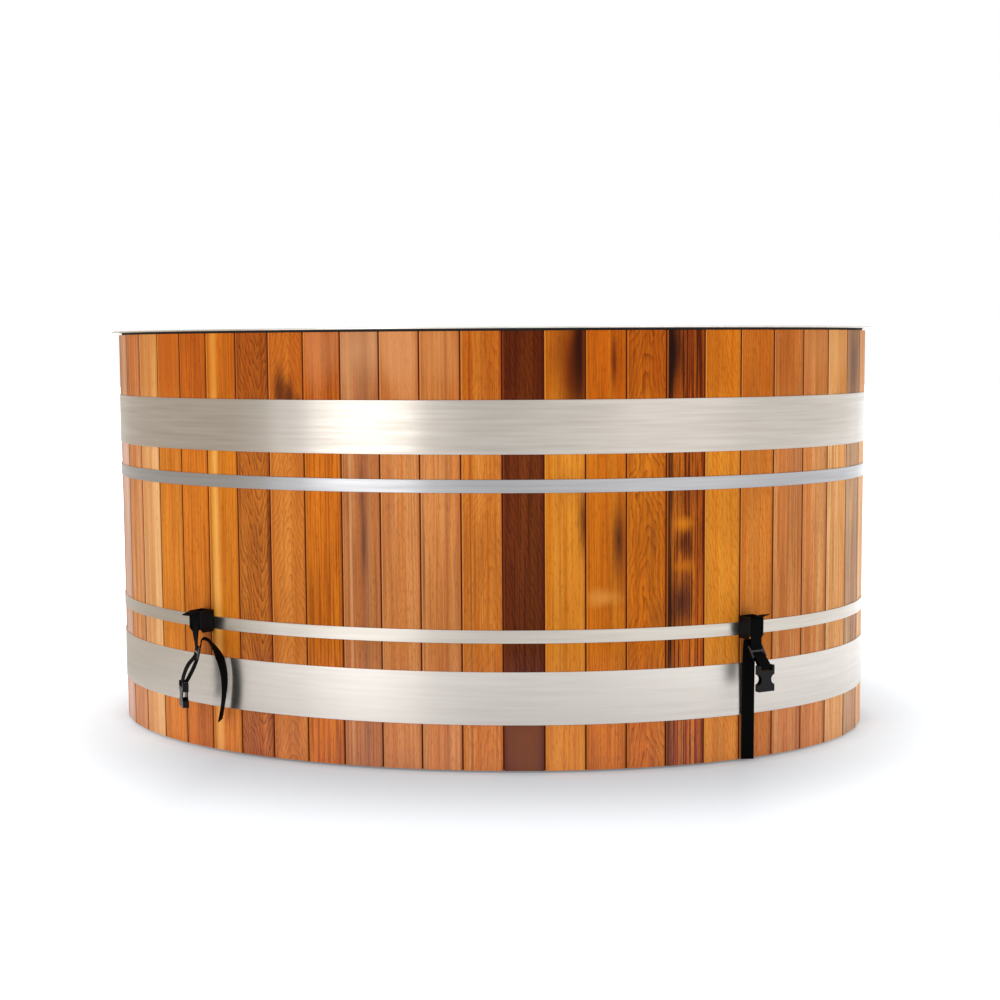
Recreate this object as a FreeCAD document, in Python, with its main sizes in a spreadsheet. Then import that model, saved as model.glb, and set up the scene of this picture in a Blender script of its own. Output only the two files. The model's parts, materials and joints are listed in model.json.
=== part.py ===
import FreeCAD, Part
import math
import os
import re

from FreeCAD import Placement, Rotation, Vector

# Oval cold plunge tub: cedar staves and steel hoops round an insulated steel liner,
# with a drain, two water ports and two cover straps.
# Frame: origin on the floor under the middle of the tub, +X along the oval, the front at -Y, +Z up.

# Driving dimensions in millimetres, degrees or counts.
SIZES = {
    # Oval of the outer stave edges
    "half_length": 810,
    "half_width": 562.6,
    "foot_gap": 4,
    # Staves
    "stave_count": 56,
    "stave_length": 827.5,
    "stave_thickness": 19,
    "stave_gap": 0.3,
    "stave_easing": 2,
    # Hoops, upwards from the foot of the staves
    "hoop_thickness": 2,
    "wide_hoop_height": 101.5,
    "thin_hoop_height": 25,
    "lower_wide_rise": 87.6,
    "lower_hoop_gap": 54.4,
    "middle_hoop_gap": 258.3,
    "upper_hoop_gap": 46.7,
    "hoop_joint_steps": 6,
    "lug_thickness": 3,
    "lug_reach": 22,
    "lug_spacing": 16,
    "hoop_bolt_radius": 4,
    "hoop_bolt_out": 14,
    "hoop_bolt_head": 7.5,
    "hoop_bolt_head_height": 5.5,
    "hoop_bolt_tail": 4,
    # Rim and liner
    "gasket_height": 4.5,
    "gasket_outer_inset": 6,
    "gasket_inner_inset": 33,
    "rim_thickness": 3,
    "rim_overhang": 13,
    "liner_inset": 65,
    "liner_thickness": 2,
    # Frame rings and insulation
    "ring_depth": 16,
    "ring_height": 50,
    "middle_ring_rise": 376,
    # Clearance between pieces, and the length of a cutter past the faces that it goes through
    "clearance": 0.3,
    "overrun": 5,
    # Base
    "runner_count": 3,
    "runner_width": 60,
    "runner_height": 10,
    "runner_spacing": 300,
    "runner_inset": 90,
    "deck_thickness": 18,
    "bearer_count": 4,
    "bearer_width": 45,
    "bearer_height": 50,
    "bearer_spacing": 270,
    "bearer_end_gap": 5,
    "floor_insulation_height": 30,
    # Drain and its valve
    "drain_back": 200,
    "drain_axis_rise": 25,
    "pipe_radius": 16.7,
    "pipe_bore": 13,
    "pipe_wall_hole": 18,
    "drain_flange_radius": 40,
    "drain_flange_height": 4,
    "drain_gasket_height": 2,
    "drain_grate_radius": 30,
    "drain_grate_height": 2.5,
    "drain_nut_radius": 30,
    "drain_nut_height": 12,
    "drain_well_radius": 36,
    "elbow_radius": 21,
    "elbow_reach": 40,
    "socket_depth": 20,
    "valve_offset": 6,
    "valve_length": 70,
    "valve_radius": 24,
    "valve_socket_depth": 18,
    "valve_bore": 12,
    "ball_radius": 18,
    "ball_flat": 16.5,
    "spigot_radius": 16.5,
    "spigot_length": 24,
    "boss_radius": 12,
    "boss_rise": 32,
    "stem_radius": 4,
    "stem_length": 28,
    "lever_length": 92,
    "lever_width": 16,
    "lever_thickness": 3,
    "lever_lift": 2,
    "lever_nut_radius": 7,
    "lever_nut_height": 6,
    # Water ports
    "port_steps": 2,
    "suction_rise": 326,
    "return_rise": 476,
    "port_radius": 24,
    "port_bore": 19,
    "port_flange_radius": 38,
    "port_flange_height": 6,
    "port_gasket_height": 2.5,
    "port_nut_radius": 36,
    "port_nut_height": 12,
    "port_shoulder": 14,
    "port_spigot_radius": 22,
    "port_reach": 45,
    "grate_radius": 34,
    "grate_height": 3,
    "grate_hole": 2.5,
    "grate_rings": 3,
    "grate_ring_step": 8,
    "grate_ring_holes": 6,
    "eyeball_radius": 18,
    "eyeball_bore": 8,
    "eyeball_face": 12,
    "eyeball_centre": 4,
    "eyeball_seat": 10,
    "seat_bore": 15.2,
    "retainer_radius": 30,
    "retainer_height": 6,
    # Strap brackets on the lower thin hoop
    "bracket_width": 33,
    "bracket_thickness": 2.5,
    "bracket_reach": 36,
    "bracket_drop": 4.5,
    "bracket_top": 13.5,
    "bracket_nose": 35,
    "bracket_foot": 30,
    "bar_radius": 3,
    "bar_out": 31,
    "bar_rise": 8.5,
    "screw_radius": 2.4,
    "screw_length": 15,
    "screw_head_radius": 4.5,
    "screw_head_height": 2.5,
    "screw_low_rise": 12.5,
    "screw_high_rise": 31,
    "screw_side": 7,
    "left_strap_steps": 7,
    "left_strap_along": 32,
    "right_strap_steps": 8,
    "right_strap_along": -25,
    # Webbing, slider and buckle
    "webbing_width": 25,
    "webbing_thickness": 1.6,
    "slider_width": 33,
    "slider_length": 26,
    "slider_thickness": 3.2,
    "slider_end_bar": 3.2,
    "slider_middle_bar": 4.6,
    "slider_slot": 27,
    "left_slider_out": 33.5,
    "left_slider_height": 204,
    "left_slider_tilt": 12,
    "right_slider_out": 39,
    "right_slider_height": 221,
    "right_slider_tilt": 37.6,
    "left_strap_twist": -29,
    "right_strap_twist": 0,
    "twist_steps": 7,
    "buckle_width": 36,
    "buckle_thickness": 12,
    "buckle_length": 50,
    "buckle_bar_radius": 2.5,
    "buckle_bar_inset": 3,
    "buckle_slot_drop": 6.8,
    "buckle_rail": 4.5,
    "buckle_socket_width": 28,
    "buckle_socket_thickness": 8,
    "buckle_socket_depth": 32,
    "buckle_waist_radius": 10,
    "buckle_waist_width": 21,
    "buckle_waist_rise": 23,
    "left_buckle_out": 61,
    "left_buckle_height": 144,
    "right_buckle_out": 64,
    "right_buckle_height": 195,
}

# Routes of the webbing, chosen by eye. A flap's points are its distance out of the wall and its rise
# over the fold; a tail's are its run from the hanging strand, in its own upright plane, and its height.
FLAP_ROUTES = {
    "left": [(31, 0), (43, 0.2), (58, -5.1)],
    "right": [(31, 0), (43, 1.4), (60, 8.9)],
}
TAIL_ROUTES = {
    "left": [(11.5, 217.8), (14.5, 232), (34, 228), (55, 198), (65, 160), (62, 112), (52, 70)],
    "right": [(6, 229), (14.6, 241), (25.3, 238), (25.3, 5)],
}
TAIL_TURNS = {"left": 17, "right": 90}

STAVE_GROUPS = ["front", "front_right", "right", "back_right", "back", "back_left", "left", "front_left"]
# Steps in which the oval's arc is measured
ARC_STEPS = 20000
# Share of the shorter run that a bend of the webbing may take up on it
BEND_SHARE = 0.45
# Distance in millimetres below which two ends of an outline are one
TOUCHING = 0.001
# Share by which a strip's volume may differ from its section along its length
STRIP_TOLERANCE = 0.01

doc = FreeCAD.newDocument("plunge_tub")
dims = doc.addObject("Spreadsheet::Sheet", "dims")
for row, (alias, number) in enumerate(SIZES.items(), start=1):
    dims.set(f"A{row}", alias)
    dims.set(f"B{row}", str(number))
    dims.setAlias(f"B{row}", alias)
doc.recompute()

parts = {}


def linked(formula):
    """Formula whose words point at the sheet's cells."""
    pieces = re.split(r"([a-z_]{2,})", str(formula))
    return "".join(f"dims.{piece}" if piece in SIZES else piece for piece in pieces)


def size(formula):
    """Number that a formula in the sheet's words comes to."""
    return float(dims.evalExpression(linked(formula)))


def bind(thing, **formulas):
    """Ties an object's properties to the sheet."""
    for name, formula in formulas.items():
        thing.setExpression(name.replace("__", "."), linked(formula))


def keep(label, thing):
    """Names an object as one of the tub's pieces."""
    thing.Label = label
    parts[label] = thing
    return thing


def cylinder(name, radius, height, place):
    """Round bar along the placement's own Z."""
    bar = doc.addObject("Part::Cylinder", name)
    bind(bar, Radius=radius, Height=height)
    bar.Placement = place
    return bar


def ball(name, radius, place):
    """Round ball about the placement's origin."""
    globe = doc.addObject("Part::Sphere", name)
    bind(globe, Radius=radius)
    globe.Placement = place
    return globe


def box(name, length, width, height, place):
    """Block centred on the placement's X and Y, standing on its Z."""
    block = doc.addObject("Part::Box", name)
    bind(block, Length=length, Width=width, Height=height)
    block.Placement = place * shifted(-size(length) / 2, -size(width) / 2, 0)
    return block


def hexagon(name, radius, height, place):
    """Six-sided nut or bolt head along the placement's own Z."""
    prism = doc.addObject("Part::Prism", name)
    prism.Polygon = 6
    bind(prism, Circumradius=radius, Height=height)
    prism.Placement = place
    return prism


def fuse(name, pieces):
    """One solid from pieces that meet."""
    union = doc.addObject("Part::MultiFuse", name)
    union.Shapes = pieces
    return union


def group(name, pieces):
    """Separate solids kept together."""
    gathered = doc.addObject("Part::Compound", name)
    gathered.Links = pieces
    return gathered


def cut(name, base, tools):
    """Base with the tools taken out of it."""
    remainder = doc.addObject("Part::Cut", name)
    remainder.Base = base
    remainder.Tool = tools[0] if len(tools) == 1 else group(f"{name}_tools", tools)
    return remainder


def shifted(x, y, z):
    """Placement moved without turning."""
    return Placement(Vector(x, y, z), Rotation())


def turned(axis, angle):
    """Placement turned about an axis through its origin."""
    return Placement(Vector(), Rotation(axis, angle))


X_AXIS = Vector(1, 0, 0)
Y_AXIS = Vector(0, 1, 0)
Z_AXIS = Vector(0, 0, 1)
ALONG_X = turned(Y_AXIS, 90)
ALONG_Y = turned(X_AXIS, -90)
OUTWARD = turned(X_AXIS, 90)


# Oval and its flat facets


def joint_points():
    """Points at equal arcs round the oval, with the first stave centred on the front."""
    major, minor, count = size("half_length"), size("half_width"), int(size("stave_count"))
    angles = [2 * math.pi * step / ARC_STEPS for step in range(ARC_STEPS + 1)]
    oval = [Vector(major * math.sin(angle), -minor * math.cos(angle), 0) for angle in angles]
    arcs = [0.0]
    for before, after in zip(oval, oval[1:]):
        arcs.append(arcs[-1] + before.distanceToPoint(after))
    points = []
    step = 0
    for joint in range(count):
        target = (joint + 0.5) * arcs[-1] / count
        while arcs[step + 1] < target:
            step += 1
        share = (target - arcs[step]) / (arcs[step + 1] - arcs[step])
        points.append(oval[step] + (oval[step + 1] - oval[step]) * share)
    return points


JOINTS = joint_points()


class Facet:
    """Flat outer face of one stave, numbered rightwards from the front middle."""

    def __init__(self, index):
        self.start = JOINTS[index - 1]
        self.end = JOINTS[index]
        self.middle = (self.start + self.end) * 0.5
        self.along = (self.end - self.start).normalize()
        self.normal = Vector(self.along.y, -self.along.x, 0)
        self.reach = self.normal.dot(self.middle)

    def frame(self, along, height):
        """Placement with X along the face, Y into the tub and Z up."""
        angle = math.degrees(math.atan2(self.along.y, self.along.x))
        place = self.middle + self.along * along + Vector(0, 0, height)
        return Placement(place, Rotation(Z_AXIS, angle))

    def oval_depth(self, inset):
        """Depth from the face to the oval that lies inside by an inset."""
        major, minor = size("half_length") - inset, size("half_width") - inset
        return self.reach - math.hypot(major * self.normal.x, minor * self.normal.y)


COUNT = len(JOINTS)
FACETS = [Facet(index) for index in range(COUNT)]
BACK = COUNT // 2


def corner(index, depth):
    """Joint between a stave and the one before it, at a depth behind the faces."""
    first, second = FACETS[index - 1], FACETS[index % COUNT]
    reach_first, reach_second = first.reach - depth, second.reach - depth
    cross = first.normal.x * second.normal.y - first.normal.y * second.normal.x
    x = (reach_first * second.normal.y - reach_second * first.normal.y) / cross
    y = (first.normal.x * reach_second - second.normal.x * reach_first) / cross
    return Vector(x, y, 0)


def closed_wire(points):
    """Closed straight-sided outline."""
    return Part.makePolygon(points + points[:1])


def facet_ring(outer_depth, inner_depth):
    """Face between two outlines that run parallel to the staves."""
    depths = (outer_depth, inner_depth)
    wires = [closed_wire([corner(index, depth) for index in range(COUNT)]) for depth in depths]
    return Part.makeFace(wires, "Part::FaceMakerBullseye")


def stave_face(index):
    """Section of one stave with bevelled sides and eased outer edges."""
    along = FACETS[index].along
    gap, easing, depth = along * (size("stave_gap") / 2), size("stave_easing"), size("stave_thickness")
    outline = [
        corner(index, 0) + gap + along * easing,
        corner(index + 1, 0) - gap - along * easing,
        corner(index + 1, easing) - gap,
        corner(index + 1, depth) - gap,
        corner(index, depth) + gap,
        corner(index, easing) + gap,
    ]
    return Part.Face(closed_wire(outline))


def board_face(index):
    """Section of one insulation board, from the frame rings to the liner."""
    gap = FACETS[index].along * (size("stave_gap") / 2)
    near = size("stave_thickness + ring_depth + clearance")
    far = FACETS[index].oval_depth(size("liner_inset")) - size("clearance")
    outline = [
        corner(index, near) + gap,
        corner(index + 1, near) - gap,
        corner(index + 1, far) - gap,
        corner(index, far) + gap,
    ]
    return Part.Face(closed_wire(outline))


def raised(name, faces, floor, height):
    """Upright solids on flat faces, from a floor height."""
    profile = doc.addObject("Part::Feature", f"{name}_profile")
    profile.Shape = faces[0] if len(faces) == 1 else Part.makeCompound(faces)
    solid = doc.addObject("Part::Extrusion", f"{name}_solid")
    solid.Base = profile
    solid.DirMode = "Custom"
    solid.Dir = Z_AXIS
    solid.Solid = True
    bind(solid, LengthFwd=height, Placement__Base__z=floor)
    return solid


def oval_plate(name, inset, floor, height):
    """Upright solid on the oval that lies inside the staves' own by an inset."""
    oval = doc.addObject("Part::Ellipse", f"{name}_oval")
    bind(oval, MajorRadius=f"half_length - ({inset})", MinorRadius=f"half_width - ({inset})")
    plate = doc.addObject("Part::Extrusion", f"{name}_plate")
    plate.Base = oval
    plate.DirMode = "Custom"
    plate.Dir = Z_AXIS
    plate.Solid = True
    bind(plate, LengthFwd=height, Placement__Base__z=floor)
    return plate


def oval_ring(outer_inset, inner_inset):
    """Face between two ovals inside the staves' own, in quarter arcs so that holes in it mesh true."""
    wires = []
    for inset in (outer_inset, inner_inset):
        oval = Part.Ellipse(Vector(), size(f"half_length - ({inset})"), size(f"half_width - ({inset})"))
        starts = [(turn + 0.5) * math.pi / 2 for turn in range(4)]
        arcs = [oval.toShape(start, start + math.pi / 2) for start in starts]
        wires.append(Part.Wire(arcs))
    return Part.makeFace(wires, "Part::FaceMakerBullseye")


# Heights and places that several pieces share

STAVE_TOP = "foot_gap + stave_length"
RIM_FLOOR = f"{STAVE_TOP} + gasket_height"
DECK_TOP = "runner_height + deck_thickness"
FLOOR_INSULATION = f"{DECK_TOP} + bearer_height"
LINER_FLOOR = f"{FLOOR_INSULATION} + floor_insulation_height"
WATER_FLOOR = f"{LINER_FLOOR} + liner_thickness"
DRAIN_AXIS = f"{DECK_TOP} + drain_axis_rise"
LOWER_WIDE_HOOP = "foot_gap + lower_wide_rise"
STRAP_HOOP = f"{LOWER_WIDE_HOOP} + wide_hoop_height + lower_hoop_gap"
UPPER_THIN_HOOP = f"{STRAP_HOOP} + thin_hoop_height + middle_hoop_gap"
UPPER_WIDE_HOOP = f"{UPPER_THIN_HOOP} + thin_hoop_height + upper_hoop_gap"
BACK_FACE = FACETS[BACK].reach
DRAIN_PLACE = shifted(0, size("drain_back"), 0)
PIPE_PLACE = shifted(0, 0, size(DRAIN_AXIS)) * ALONG_Y
PORT_FACETS = {"suction": BACK - int(size("port_steps")), "return": BACK + int(size("port_steps"))}
PORT_FRAMES = {
    name: FACETS[index].frame(0, size(f"foot_gap + {name}_rise")) * OUTWARD
    for name, index in PORT_FACETS.items()
}
STRAP_FACETS = {"left": COUNT - int(size("left_strap_steps")), "right": int(size("right_strap_steps"))}
STRAP_FRAMES = {
    side: FACETS[index].frame(size(f"{side}_strap_along"), 0) for side, index in STRAP_FACETS.items()
}
LEG_OUT = "bar_out + bar_radius + clearance + webbing_thickness / 2"


def wall_hole(name, radius, frame, depth):
    """Cutter through the wall along a frame's own Z, which points out of the tub."""
    return cylinder(name, radius, f"{depth} + overrun", frame * shifted(0, 0, -size(depth)))


def screw_places(side):
    """Frames of a bracket's two screws on the stave's face."""
    toward = -1 if side == "left" else 1
    rises = (size("screw_low_rise"), size("screw_high_rise"))
    return [
        STRAP_FRAMES[side] * shifted(toward * size("screw_side"), 0, size(STRAP_HOOP) + rise) * OUTWARD
        for rise in rises
    ]


def wall_cutters(name, index):
    """Cutters for the fittings that pass through one stave's stretch of the wall."""
    cutters = []
    if index == BACK:
        pipe_frame = FACETS[BACK].frame(0, size(DRAIN_AXIS)) * OUTWARD
        cutters.append(wall_hole(f"{name}_pipe", "pipe_wall_hole", pipe_frame, "liner_inset"))
    for port, facet in PORT_FACETS.items():
        if index == facet:
            depth = "liner_inset + liner_thickness + overrun"
            cutters.append(wall_hole(f"{name}_{port}", "port_radius + clearance", PORT_FRAMES[port], depth))
    return cutters


def screw_cutters(name, sides):
    """Holes for the bracket screws in the hoop and the stave behind it."""
    cutters = []
    for side in sides:
        for number, place in enumerate(screw_places(side)):
            radius, length = "screw_radius + clearance / 2", "screw_length + overrun"
            start = place * shifted(0, 0, -size("screw_length"))
            cutters.append(cylinder(f"{name}_{side}_{number}", radius, length, start))
    return cutters


# Wooden shell


def staves():
    """Cedar staves in eight groups round the oval."""
    share = COUNT / len(STAVE_GROUPS)
    for number, label in enumerate(STAVE_GROUPS):
        first = math.ceil((number - 0.5) * share)
        last = math.ceil((number + 0.5) * share)
        indices = [index % COUNT for index in range(first, last)]
        name = f"staves_{label}"
        solid = raised(name, [stave_face(index) for index in indices], "foot_gap", "stave_length")
        cutters = [tool for index in indices for tool in wall_cutters(name, index)]
        sides = [side for side, index in STRAP_FACETS.items() if index in indices]
        cutters += screw_cutters(name, sides)
        keep(name, cut(f"{name}_holed", solid, cutters) if cutters else solid)


def hoop(label, height, floor, bolts, sides=()):
    """Steel hoop that lies on the staves, closed by two turned-out lugs at the back."""
    ring = raised(label, [facet_ring(-size("hoop_thickness"), 0)], floor, height)
    frame = FACETS[BACK - int(size("hoop_joint_steps"))].frame(0, size(floor))
    gap = box(f"{label}_gap", "lug_spacing", "hoop_thickness * 4", height, frame)
    lugs = []
    holes = []
    for number, side in enumerate((-1, 1)):
        across = side * size("lug_spacing + lug_thickness") / 2
        place = frame * shifted(across, -size("lug_reach") / 2, 0)
        lugs.append(box(f"{label}_lug_{number}", "lug_thickness", "lug_reach", height, place))
    for number, place in enumerate(bolt_places(frame, height, bolts)):
        start = place * shifted(0, 0, -size("lug_spacing"))
        radius, length = "hoop_bolt_radius + clearance", "lug_spacing * 2"
        holes.append(cylinder(f"{label}_hole_{number}", radius, length, start))
    banded = fuse(f"{label}_band", [cut(f"{label}_open", ring, [gap])] + lugs)
    keep(label, cut(f"{label}_drilled", banded, holes + screw_cutters(label, sides)))
    return bolt_places(frame, height, bolts)


def bolt_places(frame, height, bolts):
    """Frames in the middle of a hoop's lugs, with Z along the bolts."""
    return [
        frame * shifted(0, -size("hoop_bolt_out"), size(height) * (number + 0.5) / bolts) * ALONG_X
        for number in range(bolts)
    ]


def hoops():
    """Four hoops and the bolts and nuts that draw them tight."""
    places = hoop("lower_wide_hoop", "wide_hoop_height", LOWER_WIDE_HOOP, 2)
    places += hoop("lower_thin_hoop", "thin_hoop_height", STRAP_HOOP, 1, ("left", "right"))
    places += hoop("upper_thin_hoop", "thin_hoop_height", UPPER_THIN_HOOP, 1)
    places += hoop("upper_wide_hoop", "wide_hoop_height", UPPER_WIDE_HOOP, 2)
    outside = size("lug_spacing / 2 + lug_thickness")
    bolts = []
    nuts = []
    for number, place in enumerate(places):
        head_place = place * shifted(0, 0, -outside - size("hoop_bolt_head_height"))
        head = hexagon(f"bolt_head_{number}", "hoop_bolt_head", "hoop_bolt_head_height", head_place)
        length = "lug_spacing + lug_thickness * 2 + hoop_bolt_head_height * 2 + hoop_bolt_tail"
        shank = cylinder(f"bolt_shank_{number}", "hoop_bolt_radius", length, head_place)
        bolts.append(fuse(f"bolt_{number}", [head, shank]))
        nut_place = place * shifted(0, 0, outside)
        nut = hexagon(f"nut_{number}", "hoop_bolt_head", "hoop_bolt_head_height", nut_place)
        thread = cylinder(f"nut_thread_{number}", "hoop_bolt_radius + clearance / 2", length, place)
        nuts.append(cut(f"nut_bored_{number}", nut, [thread]))
    keep("hoop_bolts", group("hoop_bolt_group", bolts))
    keep("hoop_nuts", group("hoop_nut_group", nuts))


# Liner, frame and base


def liner():
    """Steel liner, its rim and the seal between the rim and the staves."""
    height = f"{RIM_FLOOR} - ({WATER_FLOOR})"
    sheet = oval_ring("liner_inset", "liner_inset + liner_thickness")
    wall = raised("liner_sheet", [sheet], WATER_FLOOR, height)
    cutters = [tool for index in PORT_FACETS.values() for tool in wall_cutters("liner", index)]
    keep("liner_wall", cut("liner_holed", wall, cutters))
    floor = oval_plate("floor_sheet", "liner_inset", LINER_FLOOR, "liner_thickness")
    hole_place = DRAIN_PLACE * shifted(0, 0, size(f"{LINER_FLOOR} - overrun"))
    hole = cylinder("floor_hole", "pipe_radius + clearance", "liner_thickness + overrun * 2", hole_place)
    keep("liner_floor", cut("floor_holed", floor, [hole]))
    rim = oval_plate("rim_outer", "0 - rim_overhang", RIM_FLOOR, "rim_thickness")
    mouth_height = "rim_thickness + overrun * 2"
    mouth = oval_plate("rim_mouth", "liner_inset + liner_thickness", f"{RIM_FLOOR} - overrun", mouth_height)
    keep("rim_flange", cut("rim_open", rim, [mouth]))
    seal = facet_ring(size("gasket_outer_inset"), size("gasket_inner_inset"))
    keep("rim_gasket", raised("rim_gasket", [seal], STAVE_TOP, "gasket_height"))


def frame_rings():
    """Three rings that the staves are drawn against."""
    depth = size("stave_thickness")
    face = facet_ring(depth, depth + size("ring_depth"))
    floors = {
        "bottom": DECK_TOP,
        "middle": "foot_gap + middle_ring_rise",
        "top": f"{STAVE_TOP} - ring_height",
    }
    for label, floor in floors.items():
        name = f"frame_ring_{label}"
        ring = raised(name, [face], floor, "ring_height")
        passing = wall_cutters(name, BACK) if label == "bottom" else []
        keep(name, cut(f"{name}_holed", ring, passing) if passing else ring)


def insulation():
    """Foam boards behind the staves and a foam slab under the liner."""
    faces = [board_face(index) for index in range(COUNT)]
    boards = raised("wall_boards", faces, DECK_TOP, f"{STAVE_TOP} - ({DECK_TOP})")
    pierced = (BACK, *PORT_FACETS.values())
    cutters = [tool for index in pierced for tool in wall_cutters("wall_boards", index)]
    keep("wall_insulation", cut("wall_boards_holed", boards, cutters))
    slab = oval_plate("floor_slab", "liner_inset", FLOOR_INSULATION, "floor_insulation_height")
    well_place = DRAIN_PLACE * shifted(0, 0, size(f"{FLOOR_INSULATION} - overrun"))
    well = cylinder("drain_well", "drain_well_radius", "floor_insulation_height + overrun * 2", well_place)
    keep("floor_insulation", cut("floor_slab_holed", slab, [well]))


def base():
    """Deck that closes the foot, the bearers under the liner and the runners on the floor."""
    outline = closed_wire([corner(index, size("stave_thickness")) for index in range(COUNT)])
    keep("base_deck", raised("base_deck", [Part.Face(outline)], "runner_height", "deck_thickness"))
    bearers = []
    for number in range(int(size("bearer_count"))):
        across = size(f"({number} - (bearer_count - 1) / 2) * bearer_spacing")
        edge = abs(across) + size("bearer_width") / 2
        share = f"({edge} / (half_length - liner_inset - bearer_end_gap))"
        length = f"2 * (half_width - liner_inset - bearer_end_gap) * sqrt(1 - {share} ^ 2)"
        place = shifted(across, 0, size(DECK_TOP))
        bearers.append(box(f"bearer_{number}", "bearer_width", length, "bearer_height", place))
    keep("base_bearers", group("bearer_group", bearers))
    runners = []
    for number in range(int(size("runner_count"))):
        back = size(f"({number} - (runner_count - 1) / 2) * runner_spacing")
        edge = abs(back) + size("runner_width") / 2
        share = f"({edge} / (half_width - runner_inset))"
        length = f"2 * (half_length - runner_inset) * sqrt(1 - {share} ^ 2)"
        place = shifted(0, back, 0)
        runners.append(box(f"runner_{number}", length, "runner_width", "runner_height", place))
    keep("base_runners", group("runner_group", runners))


# Drain


def grate(label, radius, height, place):
    """Round grate with a middle hole and rings of holes round it."""
    plate = cylinder(f"{label}_plate", radius, height, place)
    holes = [cylinder(f"{label}_middle", "grate_hole", height, place)]
    for ring in range(1, int(size("grate_rings")) + 1):
        holes_round = int(size("grate_ring_holes")) * ring
        for number in range(holes_round):
            around = turned(Z_AXIS, 360 / holes_round * number)
            spot = place * around * shifted(ring * size("grate_ring_step"), 0, 0)
            holes.append(cylinder(f"{label}_hole_{ring}_{number}", "grate_hole", height, spot))
    keep(label, cut(f"{label}_holed", plate, holes))


def drain():
    """Floor drain and its pipe to the back of the tub."""
    seat = size(WATER_FLOOR)
    bore_place = DRAIN_PLACE * shifted(0, 0, size(DRAIN_AXIS))
    bore = cylinder("drain_bore", "pipe_bore", "bearer_height * 2", bore_place)
    seal_place = DRAIN_PLACE * shifted(0, 0, seat)
    gasket = cylinder("drain_seal_disc", "drain_flange_radius", "drain_gasket_height", seal_place)
    seal_hole = cylinder("drain_seal_hole", "pipe_radius + clearance", "drain_gasket_height", seal_place)
    keep("drain_gasket", cut("drain_seal", gasket, [seal_hole]))
    flange_floor = seat + size("drain_gasket_height")
    flange_place = DRAIN_PLACE * shifted(0, 0, flange_floor)
    flange = cylinder("drain_flange", "drain_flange_radius", "drain_flange_height", flange_place)
    socket_floor = size(f"{DRAIN_AXIS} + elbow_reach - socket_depth")
    tube_floor = socket_floor + size("clearance")
    tube_place = DRAIN_PLACE * shifted(0, 0, tube_floor)
    tube = cylinder("drain_tube", "pipe_radius", flange_floor - tube_floor, tube_place)
    keep("drain_fitting", cut("drain_body", fuse("drain_outer", [flange, tube]), [bore]))
    grate_place = DRAIN_PLACE * shifted(0, 0, flange_floor + size("drain_flange_height"))
    grate("drain_grate", "drain_grate_radius", "drain_grate_height", grate_place)
    nut_place = DRAIN_PLACE * shifted(0, 0, size(f"{LINER_FLOOR} - drain_nut_height"))
    nut = hexagon("drain_nut_blank", "drain_nut_radius", "drain_nut_height", nut_place)
    nut_hole = cylinder("drain_nut_hole", "pipe_radius + clearance / 2", "drain_nut_height", nut_place)
    keep("drain_nut", cut("drain_nut_bored", nut, [nut_hole]))
    drain_elbow(socket_floor)


def drain_elbow(socket_floor):
    """Elbow under the drain and the pipe that leads out through the wall."""
    turn_place = DRAIN_PLACE * shifted(0, 0, size(DRAIN_AXIS))
    outer = []
    inner = []
    for label, direction in (("up", Placement()), ("back", ALONG_Y)):
        place = turn_place * direction
        outer.append(cylinder(f"elbow_{label}", "elbow_radius", "elbow_reach", place))
        inner.append(cylinder(f"elbow_{label}_bore", "pipe_bore", "elbow_reach", place))
        socket_place = place * shifted(0, 0, size("elbow_reach - socket_depth"))
        socket = cylinder(f"elbow_{label}_socket", "pipe_radius + clearance", "socket_depth", socket_place)
        inner.append(socket)
    outer.append(ball("elbow_heel", "elbow_radius", turn_place))
    inner.append(ball("elbow_heel_bore", "pipe_bore", turn_place))
    keep("drain_elbow", cut("elbow_hollow", fuse("elbow_outer", outer), [fuse("elbow_inner", inner)]))
    start = size("drain_back + elbow_reach - socket_depth + clearance")
    end = BACK_FACE + size("valve_offset + valve_socket_depth - clearance")
    place = PIPE_PLACE * shifted(0, 0, start)
    pipe = cylinder("pipe_outer", "pipe_radius", end - start, place)
    keep("drain_pipe", cut("pipe_hollow", pipe, [cylinder("pipe_inner", "pipe_bore", end - start, place)]))


def drain_valve():
    """Ball valve on the drain pipe, shut at rest, with its lever across the pipe."""
    start = BACK_FACE + size("valve_offset")
    body_place = PIPE_PLACE * shifted(0, 0, start)
    ball_back = start + size("(valve_socket_depth + valve_length) / 2")
    ball_place = shifted(0, ball_back, size(DRAIN_AXIS))
    body = cylinder("valve_barrel", "valve_radius", "valve_length", body_place)
    spigot_place = body_place * shifted(0, 0, size("valve_length"))
    spigot = cylinder("valve_spigot", "spigot_radius", "spigot_length", spigot_place)
    boss = cylinder("valve_boss", "boss_radius", "boss_rise", ball_place)
    socket = cylinder("valve_socket", "pipe_radius + clearance", "valve_socket_depth", body_place)
    bore = cylinder("valve_way", "valve_bore", "valve_length + spigot_length", body_place)
    chamber = ball("valve_chamber", "ball_radius + clearance", ball_place)
    stem_way = cylinder("valve_stem_way", "stem_radius + clearance", "boss_rise", ball_place)
    hollow = fuse("valve_inside", [socket, bore, chamber, stem_way])
    keep("valve_body", cut("valve_shell", fuse("valve_outside", [body, spigot, boss]), [hollow]))
    globe = ball("valve_globe", "ball_radius", ball_place)
    stem_place = ball_place * shifted(0, 0, size("ball_flat"))
    crown = cylinder("valve_globe_crown", "ball_radius", "ball_radius", stem_place)
    way_place = ball_place * shifted(-size("ball_radius"), 0, 0) * ALONG_X
    way = cylinder("valve_globe_way", "valve_bore", "ball_radius * 2", way_place)
    keep("valve_ball", cut("valve_globe_bored", globe, [crown, way]))
    keep("valve_stem", cylinder("valve_stem_bar", "stem_radius", "stem_length", stem_place))
    valve_lever(ball_place)


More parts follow.
